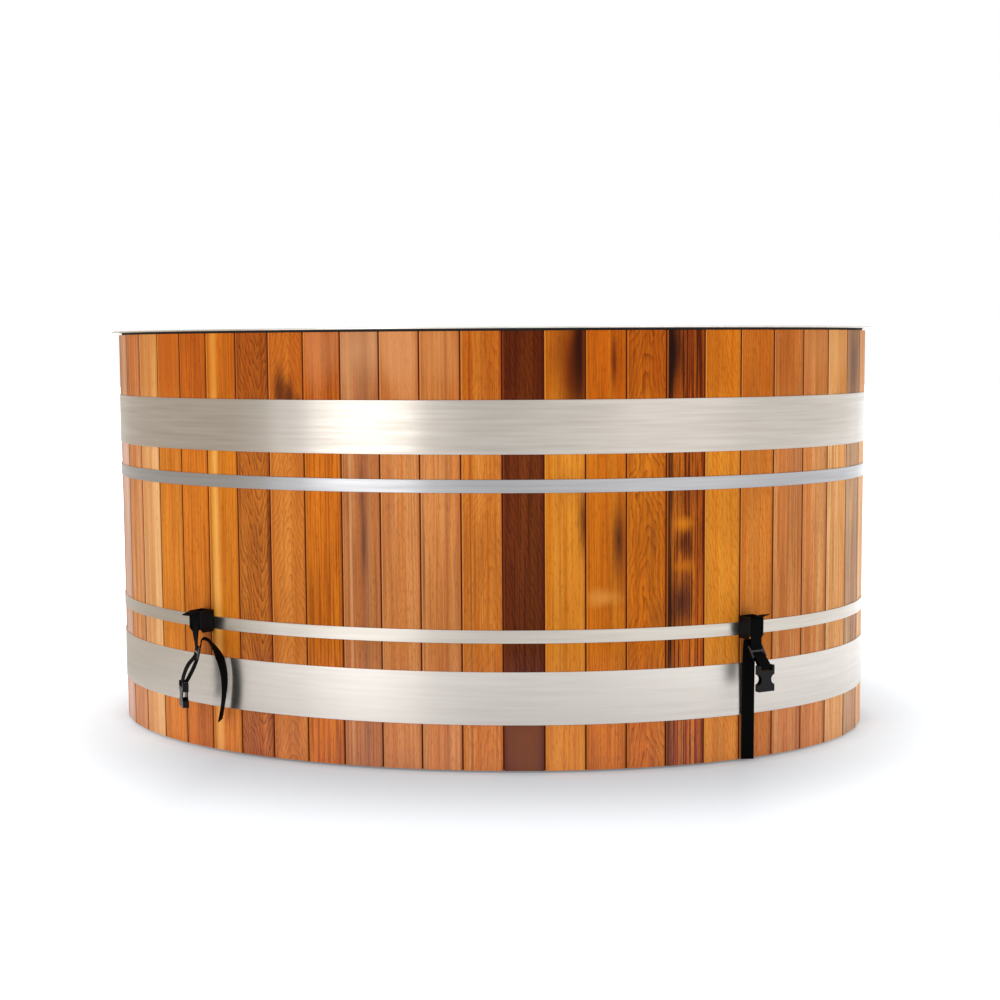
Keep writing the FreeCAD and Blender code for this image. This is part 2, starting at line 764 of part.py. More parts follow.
def valve_lever(ball_place):
    """Flat lever on the valve stem and the nut that holds it."""
    lever_place = ball_place * shifted(0, 0, size("boss_rise + lever_lift"))
    middle = size("lever_length - lever_width") / 2
    arm_place = lever_place * shifted(middle, 0, 0)
    arm = box("lever_arm", "lever_length - lever_width", "lever_width", "lever_thickness", arm_place)
    eye = cylinder("lever_eye", "lever_width / 2", "lever_thickness", lever_place)
    tip_place = lever_place * shifted(size("lever_length - lever_width"), 0, 0)
    tip = cylinder("lever_tip", "lever_width / 2", "lever_thickness", tip_place)
    hole = cylinder("lever_hole", "stem_radius + clearance / 2", "lever_thickness", lever_place)
    keep("valve_lever", cut("lever_bored", fuse("lever_blank", [arm, eye, tip]), [hole]))
    nut_place = lever_place * shifted(0, 0, size("lever_thickness"))
    nut = hexagon("lever_nut_blank", "lever_nut_radius", "lever_nut_height", nut_place)
    nut_hole = cylinder("lever_nut_hole", "stem_radius + clearance / 2", "lever_nut_height", nut_place)
    keep("valve_lever_nut", cut("lever_nut_bored", nut, [nut_hole]))


# Water ports


def port_depth(name):
    """Depth behind the stave's face of a port's flat seat on the curved liner."""
    facet = FACETS[PORT_FACETS[name]]
    inset = size("liner_inset + liner_thickness")
    major, minor = size("half_length") - inset, size("half_width") - inset
    bend = (major * facet.normal.x) ** 2 + (minor * facet.normal.y) ** 2
    radius = (major * minor) ** 2 / bend ** 1.5
    sag = size("port_flange_radius") ** 2 / (2 * radius)
    return facet.oval_depth(inset) + sag + size("clearance") / 2


def port_body(name, inside):
    """Flanged tube through the wall, with its inside cut away."""
    frame = PORT_FRAMES[name]
    depth = port_depth(name) + size("port_gasket_height")
    flange_place = frame * shifted(0, 0, -depth - size("port_flange_height"))
    flange = cylinder(f"{name}_flange", "port_flange_radius", "port_flange_height", flange_place)
    tube_place = frame * shifted(0, 0, -depth)
    tube = cylinder(f"{name}_tube", "port_radius", f"{depth} + port_shoulder", tube_place)
    spigot = cylinder(f"{name}_spigot", "port_spigot_radius", f"{depth} + port_reach", tube_place)
    keep(f"{name}_fitting", cut(f"{name}_body", fuse(f"{name}_outer", [flange, tube, spigot]), inside))


def port_seals():
    """Gaskets inside the liner and nuts outside the staves, one of each on both ports."""
    gaskets = []
    nuts = []
    for name, frame in PORT_FRAMES.items():
        seat = frame * shifted(0, 0, -port_depth(name) - size("port_gasket_height"))
        disc = cylinder(f"{name}_seal_disc", "port_flange_radius", "port_gasket_height", seat)
        hole = cylinder(f"{name}_seal_hole", "port_radius + clearance", "port_gasket_height", seat)
        gaskets.append(cut(f"{name}_seal", disc, [hole]))
        nut = hexagon(f"{name}_nut_blank", "port_nut_radius", "port_nut_height", frame)
        thread = cylinder(f"{name}_nut_hole", "port_radius + clearance / 2", "port_nut_height", frame)
        nuts.append(cut(f"{name}_nut", nut, [thread]))
    keep("port_gaskets", group("port_gasket_group", gaskets))
    keep("port_nuts", group("port_nut_group", nuts))


def suction_port():
    """Port that water leaves by, behind a grate."""
    frame = PORT_FRAMES["suction"]
    inner_face = port_depth("suction") + size("port_gasket_height + port_flange_height")
    length = f"{inner_face} + port_reach"
    way = cylinder("suction_way", "port_bore", length, frame * shifted(0, 0, -inner_face))
    port_body("suction", [way])
    grate_place = frame * shifted(0, 0, -inner_face - size("grate_height"))
    grate("suction_grate", "grate_radius", "grate_height", grate_place)


def return_port():
    """Port that water comes back by, with an eyeball nozzle that swivels in it."""
    frame = PORT_FRAMES["return"]
    flange_outer = port_depth("return") + size("port_gasket_height")
    flange_inner = flange_outer + size("port_flange_height")
    centre = flange_outer + size("eyeball_centre")
    centre_place = frame * shifted(0, 0, -centre)
    way_place = frame * shifted(0, 0, -flange_inner)
    way = cylinder("return_way", "seat_bore", f"{flange_inner} + port_reach", way_place)
    pocket_length = flange_inner - centre + size("eyeball_seat")
    pocket = cylinder("return_pocket", "eyeball_radius + clearance", pocket_length, way_place)
    port_body("return", [fuse("return_inside", [way, pocket])])
    retainer_place = frame * shifted(0, 0, -flange_inner - size("retainer_height"))
    blank = cylinder("retainer_blank", "retainer_radius", "retainer_height", retainer_place)
    seat = ball("retainer_seat", "eyeball_radius + clearance", centre_place)
    keep("return_retainer", cut("retainer_seated", blank, [seat]))
    globe = ball("eyeball_globe", "eyeball_radius", centre_place)
    nozzle_place = centre_place * shifted(0, 0, -size("eyeball_radius"))
    nozzle = cylinder("eyeball_nozzle", "eyeball_bore", "eyeball_radius * 2", nozzle_place)
    face_place = centre_place * shifted(0, 0, -size("eyeball_radius + eyeball_face"))
    face = cylinder("eyeball_front", "eyeball_radius", "eyeball_radius", face_place)
    keep("return_eyeball", cut("eyeball_bored", globe, [nozzle, face]))


# Cover straps


def strap_plane(side, turn):
    """Upright plane through a strap's hanging strand: X along a turned direction, Y across, Z up."""
    return STRAP_FRAMES[side] * shifted(0, -size(LEG_OUT), 0) * turned(Z_AXIS, turn)


def bracket(side):
    """Folded black bracket on the hoop, with two cheeks and a bar for the webbing."""
    frame = STRAP_FRAMES[side]
    floor = size(f"{STRAP_HOOP} - bracket_drop")
    height = "bracket_drop + thin_hoop_height + bracket_top"
    hoop_face = size("hoop_thickness")
    plate_place = frame * shifted(0, -hoop_face - size("bracket_thickness") / 2, floor)
    plate = box(f"{side}_plate", "bracket_width", "bracket_thickness", height, plate_place)
    nose, reach, top = size("bracket_nose"), size("bracket_reach"), size(height)
    outline = [(hoop_face, 0), (size("bracket_foot"), 0), (reach, top - nose), (reach, top), (hoop_face, top)]
    pieces = [plate]
    for number, edge in enumerate((-1, 1)):
        across = edge * size("bracket_width - bracket_thickness") / 2 - size("bracket_thickness") / 2
        cheek = doc.addObject("Part::Feature", f"{side}_cheek_{number}")
        face = Part.Face(closed_wire([Vector(0, -out, rise) for out, rise in outline]))
        cheek.Shape = face.extrude(Vector(size("bracket_thickness"), 0, 0))
        cheek.Placement = frame * shifted(across, 0, floor)
        pieces.append(cheek)
    bar_place = frame * shifted(-size("bracket_width") / 2, -size("bar_out"), bar_height()) * ALONG_X
    pieces.append(cylinder(f"{side}_bar", "bar_radius", "bracket_width", bar_place))
    holes = []
    for number, place in enumerate(screw_places(side)):
        depth = "hoop_thickness + bracket_thickness * 2"
        hole = cylinder(f"{side}_plate_hole_{number}", "screw_radius + clearance / 2", depth, place)
        holes.append(hole)
    blank = fuse(f"{side}_bracket_blank", pieces)
    keep(f"{side}_strap_bracket", cut(f"{side}_bracket_drilled", blank, holes))


def bar_height():
    """Height of the strap bars."""
    return size(f"{STRAP_HOOP} + thin_hoop_height + bar_rise")


def bracket_screws():
    """Pan-head screws that hold both brackets through the hoop."""
    screws = []
    for side in STRAP_FRAMES:
        for number, place in enumerate(screw_places(side)):
            seat = place * shifted(0, 0, size("hoop_thickness + bracket_thickness"))
            head = cylinder(f"{side}_screw_head_{number}", "screw_head_radius", "screw_head_height", seat)
            depth = size("screw_length - clearance")
            length = f"{depth} + hoop_thickness + bracket_thickness"
            start = place * shifted(0, 0, -depth)
            shank = cylinder(f"{side}_screw_shank_{number}", "screw_radius", length, start)
            screws.append(fuse(f"{side}_screw_{number}", [head, shank]))
    keep("bracket_screws", group("bracket_screw_group", screws))


class Bend:
    """Tangent arc at one corner of a route in the XZ plane."""

    def __init__(self, before, point, after, fold_radius):
        arriving, leaving = point - before, after - point
        shorter = min(arriving.Length, leaving.Length)
        self.point = point
        self.half_turn = arriving.getAngle(leaving) / 2
        self.radius = fold_radius or BEND_SHARE * shorter / math.tan(self.half_turn)
        self.trim = self.radius * math.tan(self.half_turn)
        self.shortening = 2 * self.trim - 2 * self.radius * self.half_turn
        self.arriving = arriving.normalize()
        self.leaving = leaving.normalize()

    def arc(self, offset):
        """Start, middle and end of the arc on a line beside the route."""
        inward = (self.leaving - self.arriving).normalize()
        centre = self.point + inward * (self.radius / math.cos(self.half_turn))
        start = self.point - self.arriving * self.trim + square_to(self.arriving) * offset
        end = self.point + self.leaving * self.trim + square_to(self.leaving) * offset
        inner_side = 1 if square_to(self.arriving).dot(inward) > 0 else -1
        return start, centre - inward * (self.radius - inner_side * offset), end


def square_to(run):
    """Direction square to a run, within the XZ plane."""
    return Vector(-run.z, 0, run.x).normalize()


def side_edges(route, bends, offset):
    """Straight and curved edges of a line beside a route."""
    edges = []
    last = route[0] + square_to(route[1] - route[0]) * offset
    for bend in bends:
        start, middle, end = bend.arc(offset)
        if last.distanceToPoint(start) > TOUCHING:
            edges.append(Part.makeLine(last, start))
        edges.append(Part.Arc(start, middle, end).toShape())
        last = end
    edges.append(Part.makeLine(last, route[-1] + square_to(route[-1] - route[-2]) * offset))
    return edges


def strip_solid(label, points, fold_radius=None):
    """Webbing along straight runs joined by tangent arcs, in the XZ plane and centred on Y."""
    route = [Vector(run, 0, height) for run, height in points]
    bends = [Bend(*corner_spots, fold_radius) for corner_spots in zip(route, route[1:], route[2:])]
    half, width = size("webbing_thickness") / 2, size("webbing_width")
    first, last = square_to(route[1] - route[0]) * half, square_to(route[-1] - route[-2]) * half
    edges = side_edges(route, bends, half) + side_edges(route, bends, -half)
    edges.append(Part.makeLine(route[0] + first, route[0] - first))
    edges.append(Part.makeLine(route[-1] + last, route[-1] - last))
    solid = Part.Face(Part.Wire(Part.__sortEdges__(edges))).extrude(Vector(0, width, 0))
    solid.translate(Vector(0, -width / 2, 0))
    runs = sum(before.distanceToPoint(after) for before, after in zip(route, route[1:]))
    length = runs - sum(bend.shortening for bend in bends)
    check_strip(label, solid, length, [round(bend.radius, 1) for bend in bends])
    return solid


def twisted_solid(label, turn, top, bottom):
    """Hanging strand that turns about its own upright middle line on the way down."""
    half, across = size("webbing_thickness") / 2, size("webbing_width") / 2
    outline = [(-half, -across), (half, -across), (half, across), (-half, across)]
    steps = int(size("twist_steps"))
    sections = []
    for step in range(steps + 1):
        height = top + (bottom - top) * step / steps
        section = closed_wire([Vector(x, y, height) for x, y in outline])
        section.rotate(Vector(), Z_AXIS, turn * step / steps)
        sections.append(section)
    solid = Part.makeLoft(sections, True, True)
    check_strip(label, solid, top - bottom, [])
    return solid


def check_strip(label, solid, length, radii):
    """Prints a strip's bends and compares its volume with its section along its length."""
    share = solid.Volume / (size("webbing_width * webbing_thickness") * length)
    print(label, "length", round(length, 1), "bend radii", radii, "volume share", round(share, 4))
    if abs(share - 1) > STRIP_TOLERANCE:
        raise RuntimeError(f"{label} doesn't fill its section along its route")


def webbing(label, solids, place):
    """Piece of webbing from solids that meet, set in its plane."""
    strip = doc.addObject("Part::Feature", label)
    shape = solids[0]
    for other in solids[1:]:
        shape = shape.fuse(other)
    strip.Shape = shape.removeSplitter()
    strip.Placement = place
    keep(label, strip)


def strap(side):
    """Webbing, slider and buckle of one cover strap, hanging from its bracket."""
    leg_out = size(LEG_OUT)
    strap_leg(side)
    hanging = strap_plane(side, size(f"{side}_strap_twist") - 90)
    slider_place = hanging * shifted(size(f"{side}_slider_out") - leg_out, 0, size(f"{side}_slider_height"))
    slider(side, slider_place * turned(Y_AXIS, -size(f"{side}_slider_tilt")))
    buckle_place = hanging * shifted(size(f"{side}_buckle_out") - leg_out, 0, size(f"{side}_buckle_height"))
    loop(side, buckle_place)
    buckle(side, buckle_place)
    tail = strip_solid(f"{side} tail", TAIL_ROUTES[side])
    webbing(f"{side}_strap_tail", [tail], strap_plane(side, TAIL_TURNS[side]))


def strap_leg(side):
    """Webbing folded over the bracket's bar, with a flap at the top and a strand down to the slider."""
    leg_out, top = size(LEG_OUT), bar_height()
    wrap = leg_out - size("bar_out")
    low, high = top - 2 * wrap, top + wrap
    fold = strip_solid(f"{side} fold", [(-2 * wrap, low), (-2 * wrap, high), (0, high), (0, low)], wrap)
    strand = twisted_solid(f"{side} strand", size(f"{side}_strap_twist"), low, leg_bottom(side))
    flap = strip_solid(f"{side} flap", [(out - leg_out, high + rise) for out, rise in FLAP_ROUTES[side]])
    webbing(f"{side}_strap_leg", [fold, strand, flap], strap_plane(side, -90))


def leg_bottom(side):
    """Height at which a strap's leg meets the front of its slider."""
    tilt = math.radians(size(f"{side}_slider_tilt"))
    face_out = size(f"{side}_slider_out") + size("slider_thickness") / 2 / math.cos(tilt)
    behind = face_out - size(f"{LEG_OUT} - webbing_thickness / 2")
    return size(f"{side}_slider_height + clearance") + behind / math.tan(tilt)


def slider(side, place):
    """Plate with two slots and a middle bar that the webbing is threaded through."""
    floor = -size("slider_length") / 2
    plate_place = place * shifted(0, 0, floor)
    plate = box(f"{side}_slider_plate", "slider_thickness", "slider_width", "slider_length", plate_place)
    slot = "(slider_length - slider_middle_bar) / 2 - slider_end_bar"
    lower = place * shifted(0, 0, floor + size("slider_end_bar"))
    upper = place * shifted(0, 0, size("slider_middle_bar") / 2)
    slots = [
        box(f"{side}_slider_{name}", "slider_thickness * 2", "slider_slot", slot, spot)
        for name, spot in (("lower", lower), ("upper", upper))
    ]
    keep(f"{side}_strap_slider", cut(f"{side}_slider_slotted", plate, slots))


def loop(side, buckle_place):
    """Doubled webbing from the slider round the buckle's bar."""
    wrap = size("buckle_bar_radius + clearance + webbing_thickness / 2")
    run = size(f"{side}_buckle_out - {side}_slider_out")
    drop = size(f"{side}_slider_height - {side}_buckle_height")
    lean = math.degrees(math.atan2(run, drop))
    across_slider = math.radians(lean - size(f"{side}_slider_tilt"))
    slider_end = size("slider_length") / 2 * math.cos(across_slider)
    length = math.hypot(run, drop) - slider_end - size("clearance")
    route = [(-wrap, length), (-wrap, -wrap), (wrap, -wrap), (wrap, length)]
    doubled = strip_solid(f"{side} loop", route, wrap)
    webbing(f"{side}_strap_loop", [doubled], buckle_place * turned(Y_AXIS, -lean))


def buckle(side, place):
    """Socket half of a side-release buckle, with its mouth downwards."""
    bottom = size("buckle_bar_inset - buckle_length")
    body_height = "buckle_length - buckle_bar_inset - buckle_slot_drop"
    floor = place * shifted(0, 0, bottom)
    body = box(f"{side}_buckle_body", "buckle_thickness", "buckle_width", body_height, floor)
    pieces = [body]
    rail_across = size("buckle_width - buckle_rail") / 2
    for number, edge in enumerate((-1, 1)):
        rail_place = place * shifted(0, edge * rail_across, -size("buckle_slot_drop"))
        rail_height = "buckle_slot_drop + buckle_bar_inset"
        rail = box(f"{side}_buckle_rail_{number}", "buckle_thickness", "buckle_rail", rail_height, rail_place)
        pieces.append(rail)
    bar_place = place * shifted(0, -size("buckle_width") / 2, 0) * ALONG_Y
    pieces.append(cylinder(f"{side}_buckle_bar", "buckle_bar_radius", "buckle_width", bar_place))
    socket = ("buckle_socket_thickness", "buckle_socket_width", "buckle_socket_depth")
    cutters = [box(f"{side}_buckle_socket", *socket, floor)]
    waist_across = size("buckle_waist_width / 2 + buckle_waist_radius")
    waist_rise, behind = size("buckle_waist_rise"), -size("buckle_thickness")
    for number, edge in enumerate((-1, 1)):
        spot = floor * shifted(behind, edge * waist_across, waist_rise) * ALONG_X
        waist = cylinder(f"{side}_waist_{number}", "buckle_waist_radius", "buckle_thickness * 2", spot)
        cutters.append(waist)
    blank = fuse(f"{side}_buckle_blank", pieces)
    keep(f"{side}_strap_buckle", cut(f"{side}_buckle_shaped", blank, cutters))


def check_model():
    """Stops with a plain message if any object failed."""
    doc.recompute()
    faults = [thing.Name for thing in doc.Objects if {"Invalid", "Error"} & set(thing.State)]
    for label, piece in parts.items():
        if piece.Shape.isNull() or not piece.Shape.isValid() or not piece.Shape.Solids:
            faults.append(label)
    if faults:
        raise RuntimeError("failed objects: " + ", ".join(faults))


staves()
hoops()
liner()
frame_rings()
insulation()
base()
drain()
drain_valve()
port_seals()
suction_port()
return_port()
for strap_side in STRAP_FRAMES:
    bracket(strap_side)
    strap(strap_side)
bracket_screws()
check_model()
os.makedirs("parts", exist_ok=True)
for label, piece in parts.items():
    piece.Shape.exportStep(f"parts/{label}.step")
    print(label, len(piece.Shape.Solids), round(piece.Shape.Volume))
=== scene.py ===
"""Looks of the oval cedar plunge tub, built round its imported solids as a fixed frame.

Sizes are in metres in the frame of the solids: +X along the oval, the front at -Y, +Z up.
"""

import json
import logging
import math
import random
from dataclasses import dataclass
from enum import Enum
from typing import Any, Sequence

import bmesh
import bpy
from mathutils import Matrix, Vector

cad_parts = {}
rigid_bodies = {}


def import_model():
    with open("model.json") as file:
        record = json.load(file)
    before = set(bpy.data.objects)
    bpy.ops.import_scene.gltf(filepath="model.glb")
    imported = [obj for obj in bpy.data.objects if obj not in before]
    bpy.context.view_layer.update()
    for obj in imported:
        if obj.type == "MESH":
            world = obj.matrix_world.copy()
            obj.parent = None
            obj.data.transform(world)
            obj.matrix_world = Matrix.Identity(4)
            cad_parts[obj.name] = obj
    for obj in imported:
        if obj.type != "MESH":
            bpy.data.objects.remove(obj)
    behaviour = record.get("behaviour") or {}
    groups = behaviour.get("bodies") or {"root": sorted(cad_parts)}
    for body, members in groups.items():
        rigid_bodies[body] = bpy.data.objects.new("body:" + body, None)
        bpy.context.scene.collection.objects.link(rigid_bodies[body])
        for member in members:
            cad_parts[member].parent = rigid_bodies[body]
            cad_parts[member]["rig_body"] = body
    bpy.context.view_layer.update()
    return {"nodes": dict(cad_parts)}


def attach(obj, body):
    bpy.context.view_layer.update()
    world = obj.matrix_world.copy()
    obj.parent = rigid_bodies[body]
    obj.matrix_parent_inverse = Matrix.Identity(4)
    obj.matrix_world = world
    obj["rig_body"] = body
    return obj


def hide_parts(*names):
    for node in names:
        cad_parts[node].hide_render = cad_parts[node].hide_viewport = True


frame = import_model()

LOG = logging.getLogger("plunge_tub")
MM = 0.001
UP = Vector((0.0, 0.0, 1.0))
GRAIN_MAP = "grain"
WEAVE_MAP = "weave"
TUB = "tub"
# Oiled wood, paint, rubber and plastics
SKIN_IOR = 1.5
SMOOTH = "SMOOTHSTEP"

Mesh = bmesh.types.BMesh
Tree = bpy.types.NodeTree
Socket = bpy.types.NodeSocket
Point = Sequence[float]
Mark = tuple[float, float]
Triple = tuple[float, float, float]
Reach = tuple[float, float, float, float]


# Node helpers


def linear(colour: str) -> tuple[float, float, float, float]:
    """Turns an sRGB hex colour into linear light.

    Args:
        colour: Six hex digits after a hash sign.

    Returns:
        Red, green, blue and an alpha of one.
    """
    shares = [int(colour[start : start + 2], 16) / 255 for start in (1, 3, 5)]
    red, green, blue = (s / 12.92 if s <= 0.04045 else ((s + 0.055) / 1.055) ** 2.4 for s in shares)
    return red, green, blue, 1.0


def add_node(
    tree: Tree,
    kind: str,
    settings: dict[str, Any] | None = None,
    inputs: dict[str | int, Any] | None = None,
) -> Any:
    """Adds one node with its settings, values and links.

    Args:
        tree: Tree that the node goes into.
        kind: Blender's name for the node's type.
        settings: Properties of the node.
        inputs: Sockets by name or number, each with a value or with the socket that feeds it.

    Returns:
        The node's outputs.
    """
    node = tree.nodes.new(kind)
    for name, value in (settings or {}).items():
        setattr(node, name, value)
    for name, value in (inputs or {}).items():
        if isinstance(value, Socket):
            tree.links.new(value, node.inputs[name])
        else:
            node.inputs[name].default_value = value
    return node.outputs


def reckon(tree: Tree, operation: str, *values: Any) -> Socket:
    """Adds one step of arithmetic."""
    return add_node(tree, "ShaderNodeMath", {"operation": operation}, dict(enumerate(values)))[0]


def reckon_vector(tree: Tree, operation: str, *values: Any) -> Socket:
    """Adds one step of arithmetic on vectors."""
    outputs = add_node(tree, "ShaderNodeVectorMath", {"operation": operation}, dict(enumerate(values)))
    return outputs["Value" if operation == "LENGTH" else "Vector"]


def ranged(
    tree: Tree,
    value: Socket,
    start: float = 0.0,
    end: float = 1.0,
    low: float = 0.0,
    high: float = 1.0,
    kind: str = "LINEAR",
) -> Socket:
    """Stretches the values from start to end over the span from low to high."""
    inputs = {"Value": value, "From Min": start, "From Max": end, "To Min": low, "To Max": high}
    return add_node(tree, "ShaderNodeMapRange", {"interpolation_type": kind}, inputs)[0]


def mixed(tree: Tree, under: Any, over: Any, share: Socket, most: float = 1.0) -> Socket:
    """Lays one colour over another.

    Args:
        tree: Tree of the material.
        under: Hex colour or socket below.
        over: Hex colour or socket above.
        share: How much of the upper one shows.
        most: What the share is multiplied by.

    Returns:
        The mixed colour.
    """
    if most != 1.0:
        share = reckon(tree, "MULTIPLY", share, most)
    low, high = (linear(colour) if isinstance(colour, str) else colour for colour in (under, over))
    return add_node(tree, "ShaderNodeMix", {"data_type": "RGBA"}, {0: share, 6: low, 7: high})[2]


def noise(tree: Tree, place: Socket, sizes: Point, detail: float) -> Socket:
    """Adds noise whose marks have a size in millimetres along each axis."""
    scaled = reckon_vector(tree, "MULTIPLY", place, tuple(1 / (size * MM) for size in sizes))
    return add_node(tree, "ShaderNodeTexNoise", inputs={"Vector": scaled, "Scale": 1.0, "Detail": detail})[0]


def relief(tree: Tree, height: Socket, strength: float, depth: float) -> Socket:
    """Adds bumps of a depth in millimetres."""
    inputs = {"Strength": strength, "Distance": depth * MM, "Height": height}
    return add_node(tree, "ShaderNodeBump", inputs=inputs)[0]


def shaded(tree: Tree, inputs: dict[str | int, Any]) -> Socket:
    """Adds the surface shader."""
    return add_node(tree, "ShaderNodeBsdfPrincipled", inputs=inputs)[0]


def object_place(tree: Tree) -> Socket:
    """Adds the place in the piece's own frame."""
    return add_node(tree, "ShaderNodeTexCoord")["Object"]


def map_place(tree: Tree, name: str) -> Any:
    """Adds the place on a UV map, split into its axes."""
    return add_node(
        tree, "ShaderNodeSeparateXYZ", inputs={0: add_node(tree, "ShaderNodeUVMap", {"uv_map": name})[0]}
    )


# Mesh helpers


def loft(
    mesh: Mesh,
    sections: Sequence[Sequence[Point]],
    ring: bool = False,
    slots: Sequence[int] = (),
    map_name: str = "",
    marks: Sequence[Sequence[Mark]] = (),
) -> None:
    """Skins closed sections one after another.

    Args:
        mesh: Mesh that takes the skin.
        sections: Closed outlines with the same number of points.
        ring: Whether the last section joins the first; otherwise both ends are closed by a face.
        slots: Finish number of the strip that starts at each point of a section.
        map_name: UV map that takes the marks.
        marks: UV place of every point of the sections.
    """
    count = len(sections[0])
    rows = [[mesh.verts.new(point) for point in section] for section in sections]
    for low, high in zip(rows, rows[1:] + (rows[:1] if ring else [])):
        for here in range(count):
            after = (here + 1) % count
            face = mesh.faces.new((low[here], low[after], high[after], high[here]))
            face.material_index = slots[here] if slots else 0
    if not ring:
        for row in (rows[0][::-1], rows[-1]):
            mesh.faces.new(row)
    if marks:
        layer = mesh.loops.layers.uv.get(map_name) or mesh.loops.layers.uv.new(map_name)
        for row, line in zip(rows, marks):
            for vert, mark in zip(row, line):
                for loop in vert.link_loops:
                    loop[layer].uv = mark


def rounded_outline(low: Mark, high: Mark, radius: float, steps: int = 3) -> list[Mark]:
    """Outline of a rectangle with round corners.

    Args:
        low: Lowest corner.
        high: Highest corner.
        radius: Radius of the corners.
        steps: Points per corner, less one.

    Returns:
        Points of the outline, counter-clockwise.
    """
    right, top, left, bottom = high[0] - radius, high[1] - radius, low[0] + radius, low[1] + radius
    outline = []
    for quarter, (x, y) in enumerate(((right, top), (left, top), (left, bottom), (right, bottom))):
        for step in range(steps + 1):
            angle = (quarter + step / steps) * math.pi / 2
            outline.append((x + radius * math.cos(angle), y + radius * math.sin(angle)))
    return outline


def bent(start: Vector, corner: Vector, end: Vector, steps: int) -> list[Vector]:
    """Points of a smooth bend that leaves one run, cuts the corner and joins the next."""
    shares = [step / steps for step in range(steps + 1)]
    return [start * (1 - s) ** 2 + corner * 2 * s * (1 - s) + end * s**2 for s in shares]


def headings(line: Sequence[Vector]) -> list[Vector]:
    """Direction of a line at each of its points."""
    last = len(line) - 1
    return [(line[min(n + 1, last)] - line[max(n - 1, 0)]).normalized() for n in range(last + 1)]


# Finishes


@dataclass(frozen=True)
class Finish:
    """Surface that is made once and shared by the pieces that carry it."""

    name: str

    def material(self) -> bpy.types.Material:
        """Finds the material or makes it.

        Returns:
            The material of this finish.
        """
        made = bpy.data.materials.get(self.name)
        if made is None:
            made = bpy.data.materials.new(self.name)
            made.use_nodes = True
            made.node_tree.nodes.clear()
            surface = self.surface(made.node_tree)
            add_node(made.node_tree, "ShaderNodeOutputMaterial", inputs={"Surface": surface})
        return made

    def surface(self, tree: Tree) -> Socket:
        """Builds the shader in a material's tree."""
        raise NotImplementedError


@dataclass(frozen=True)
class CedarTone:
    """Colours of one board of red cedar: its ground, its palest growth and its latewood."""

    ground: str
    pale: str
    dark: str


HONEY = CedarTone("#de8420", "#eba63e", "#8e4206")
GOLD = CedarTone("#d87a14", "#eaa236", "#8c4204")
AMBER = CedarTone("#cc6c10", "#e08f28", "#7c3604")
COPPER = CedarTone("#cf7626", "#e09a4a", "#853c0c")
TAN = CedarTone("#cc7b3c", "#dfa264", "#8c4a20")
ROSE = CedarTone("#b56a36", "#d09258", "#783a1a")
RUSSET = CedarTone("#b85f16", "#cd8030", "#5c2404")
STRAW = CedarTone("#e09c58", "#f2c88e", "#ab672a")
WALNUT = CedarTone("#6a2c0c", "#824418", "#2a0b02")
SMOKED = CedarTone("#b45410", "#da7c1e", "#3c1204")
# Dusk is partly the board's own tone and partly painted sheen: a greyed, pale ground for the last facing
# stave, which turns away at the right end
DUSK = CedarTone("#c09068", "#e2b684", "#7c543c")
JOINT_OIL = "#661404"


@dataclass(frozen=True)
class GrainShape:
    """How the growth rings cut a board's face.

    Rings and rise count them per metre away from the board's middle and up it; depth and wander, in
    millimetres, round the tips of the arches and shift them; warp is the rings' waviness.
    """

    rings: float = 0.0
    rise: float = 0.0
    depth: float = 0.0
    wander: float = 0.0
    warp: float = 0.0


class Figure(Enum):
    """Figure of a board's face."""

    STRAIGHT = GrainShape()
    ARCHED = GrainShape(rings=130.0, rise=46.0, depth=6.0, wander=10.0, warp=2.4)
    HATCHED = GrainShape(rings=130.0, rise=-36.0, depth=4.0, wander=6.0, warp=3.0)
    FLAMED = GrainShape(rings=110.0, rise=20.0, depth=7.0, wander=24.0, warp=3.0)


@dataclass(frozen=True)
class StainOrSheen:
    """Soft-edged mark on a board, a stained patch or a painted sheen or reflection: its middle and half
    sizes in millimetres across and up.
    """

    across: float
    height: float
    half_width: float
    half_height: float
    strength: float
    colour: str = "#32150c"


@dataclass(frozen=True)
class Face:
    """Sockets of a place on a stave in metres: across it, up it, and both with the stave's seed."""

    across: Socket
    height: Socket
    spot: Socket


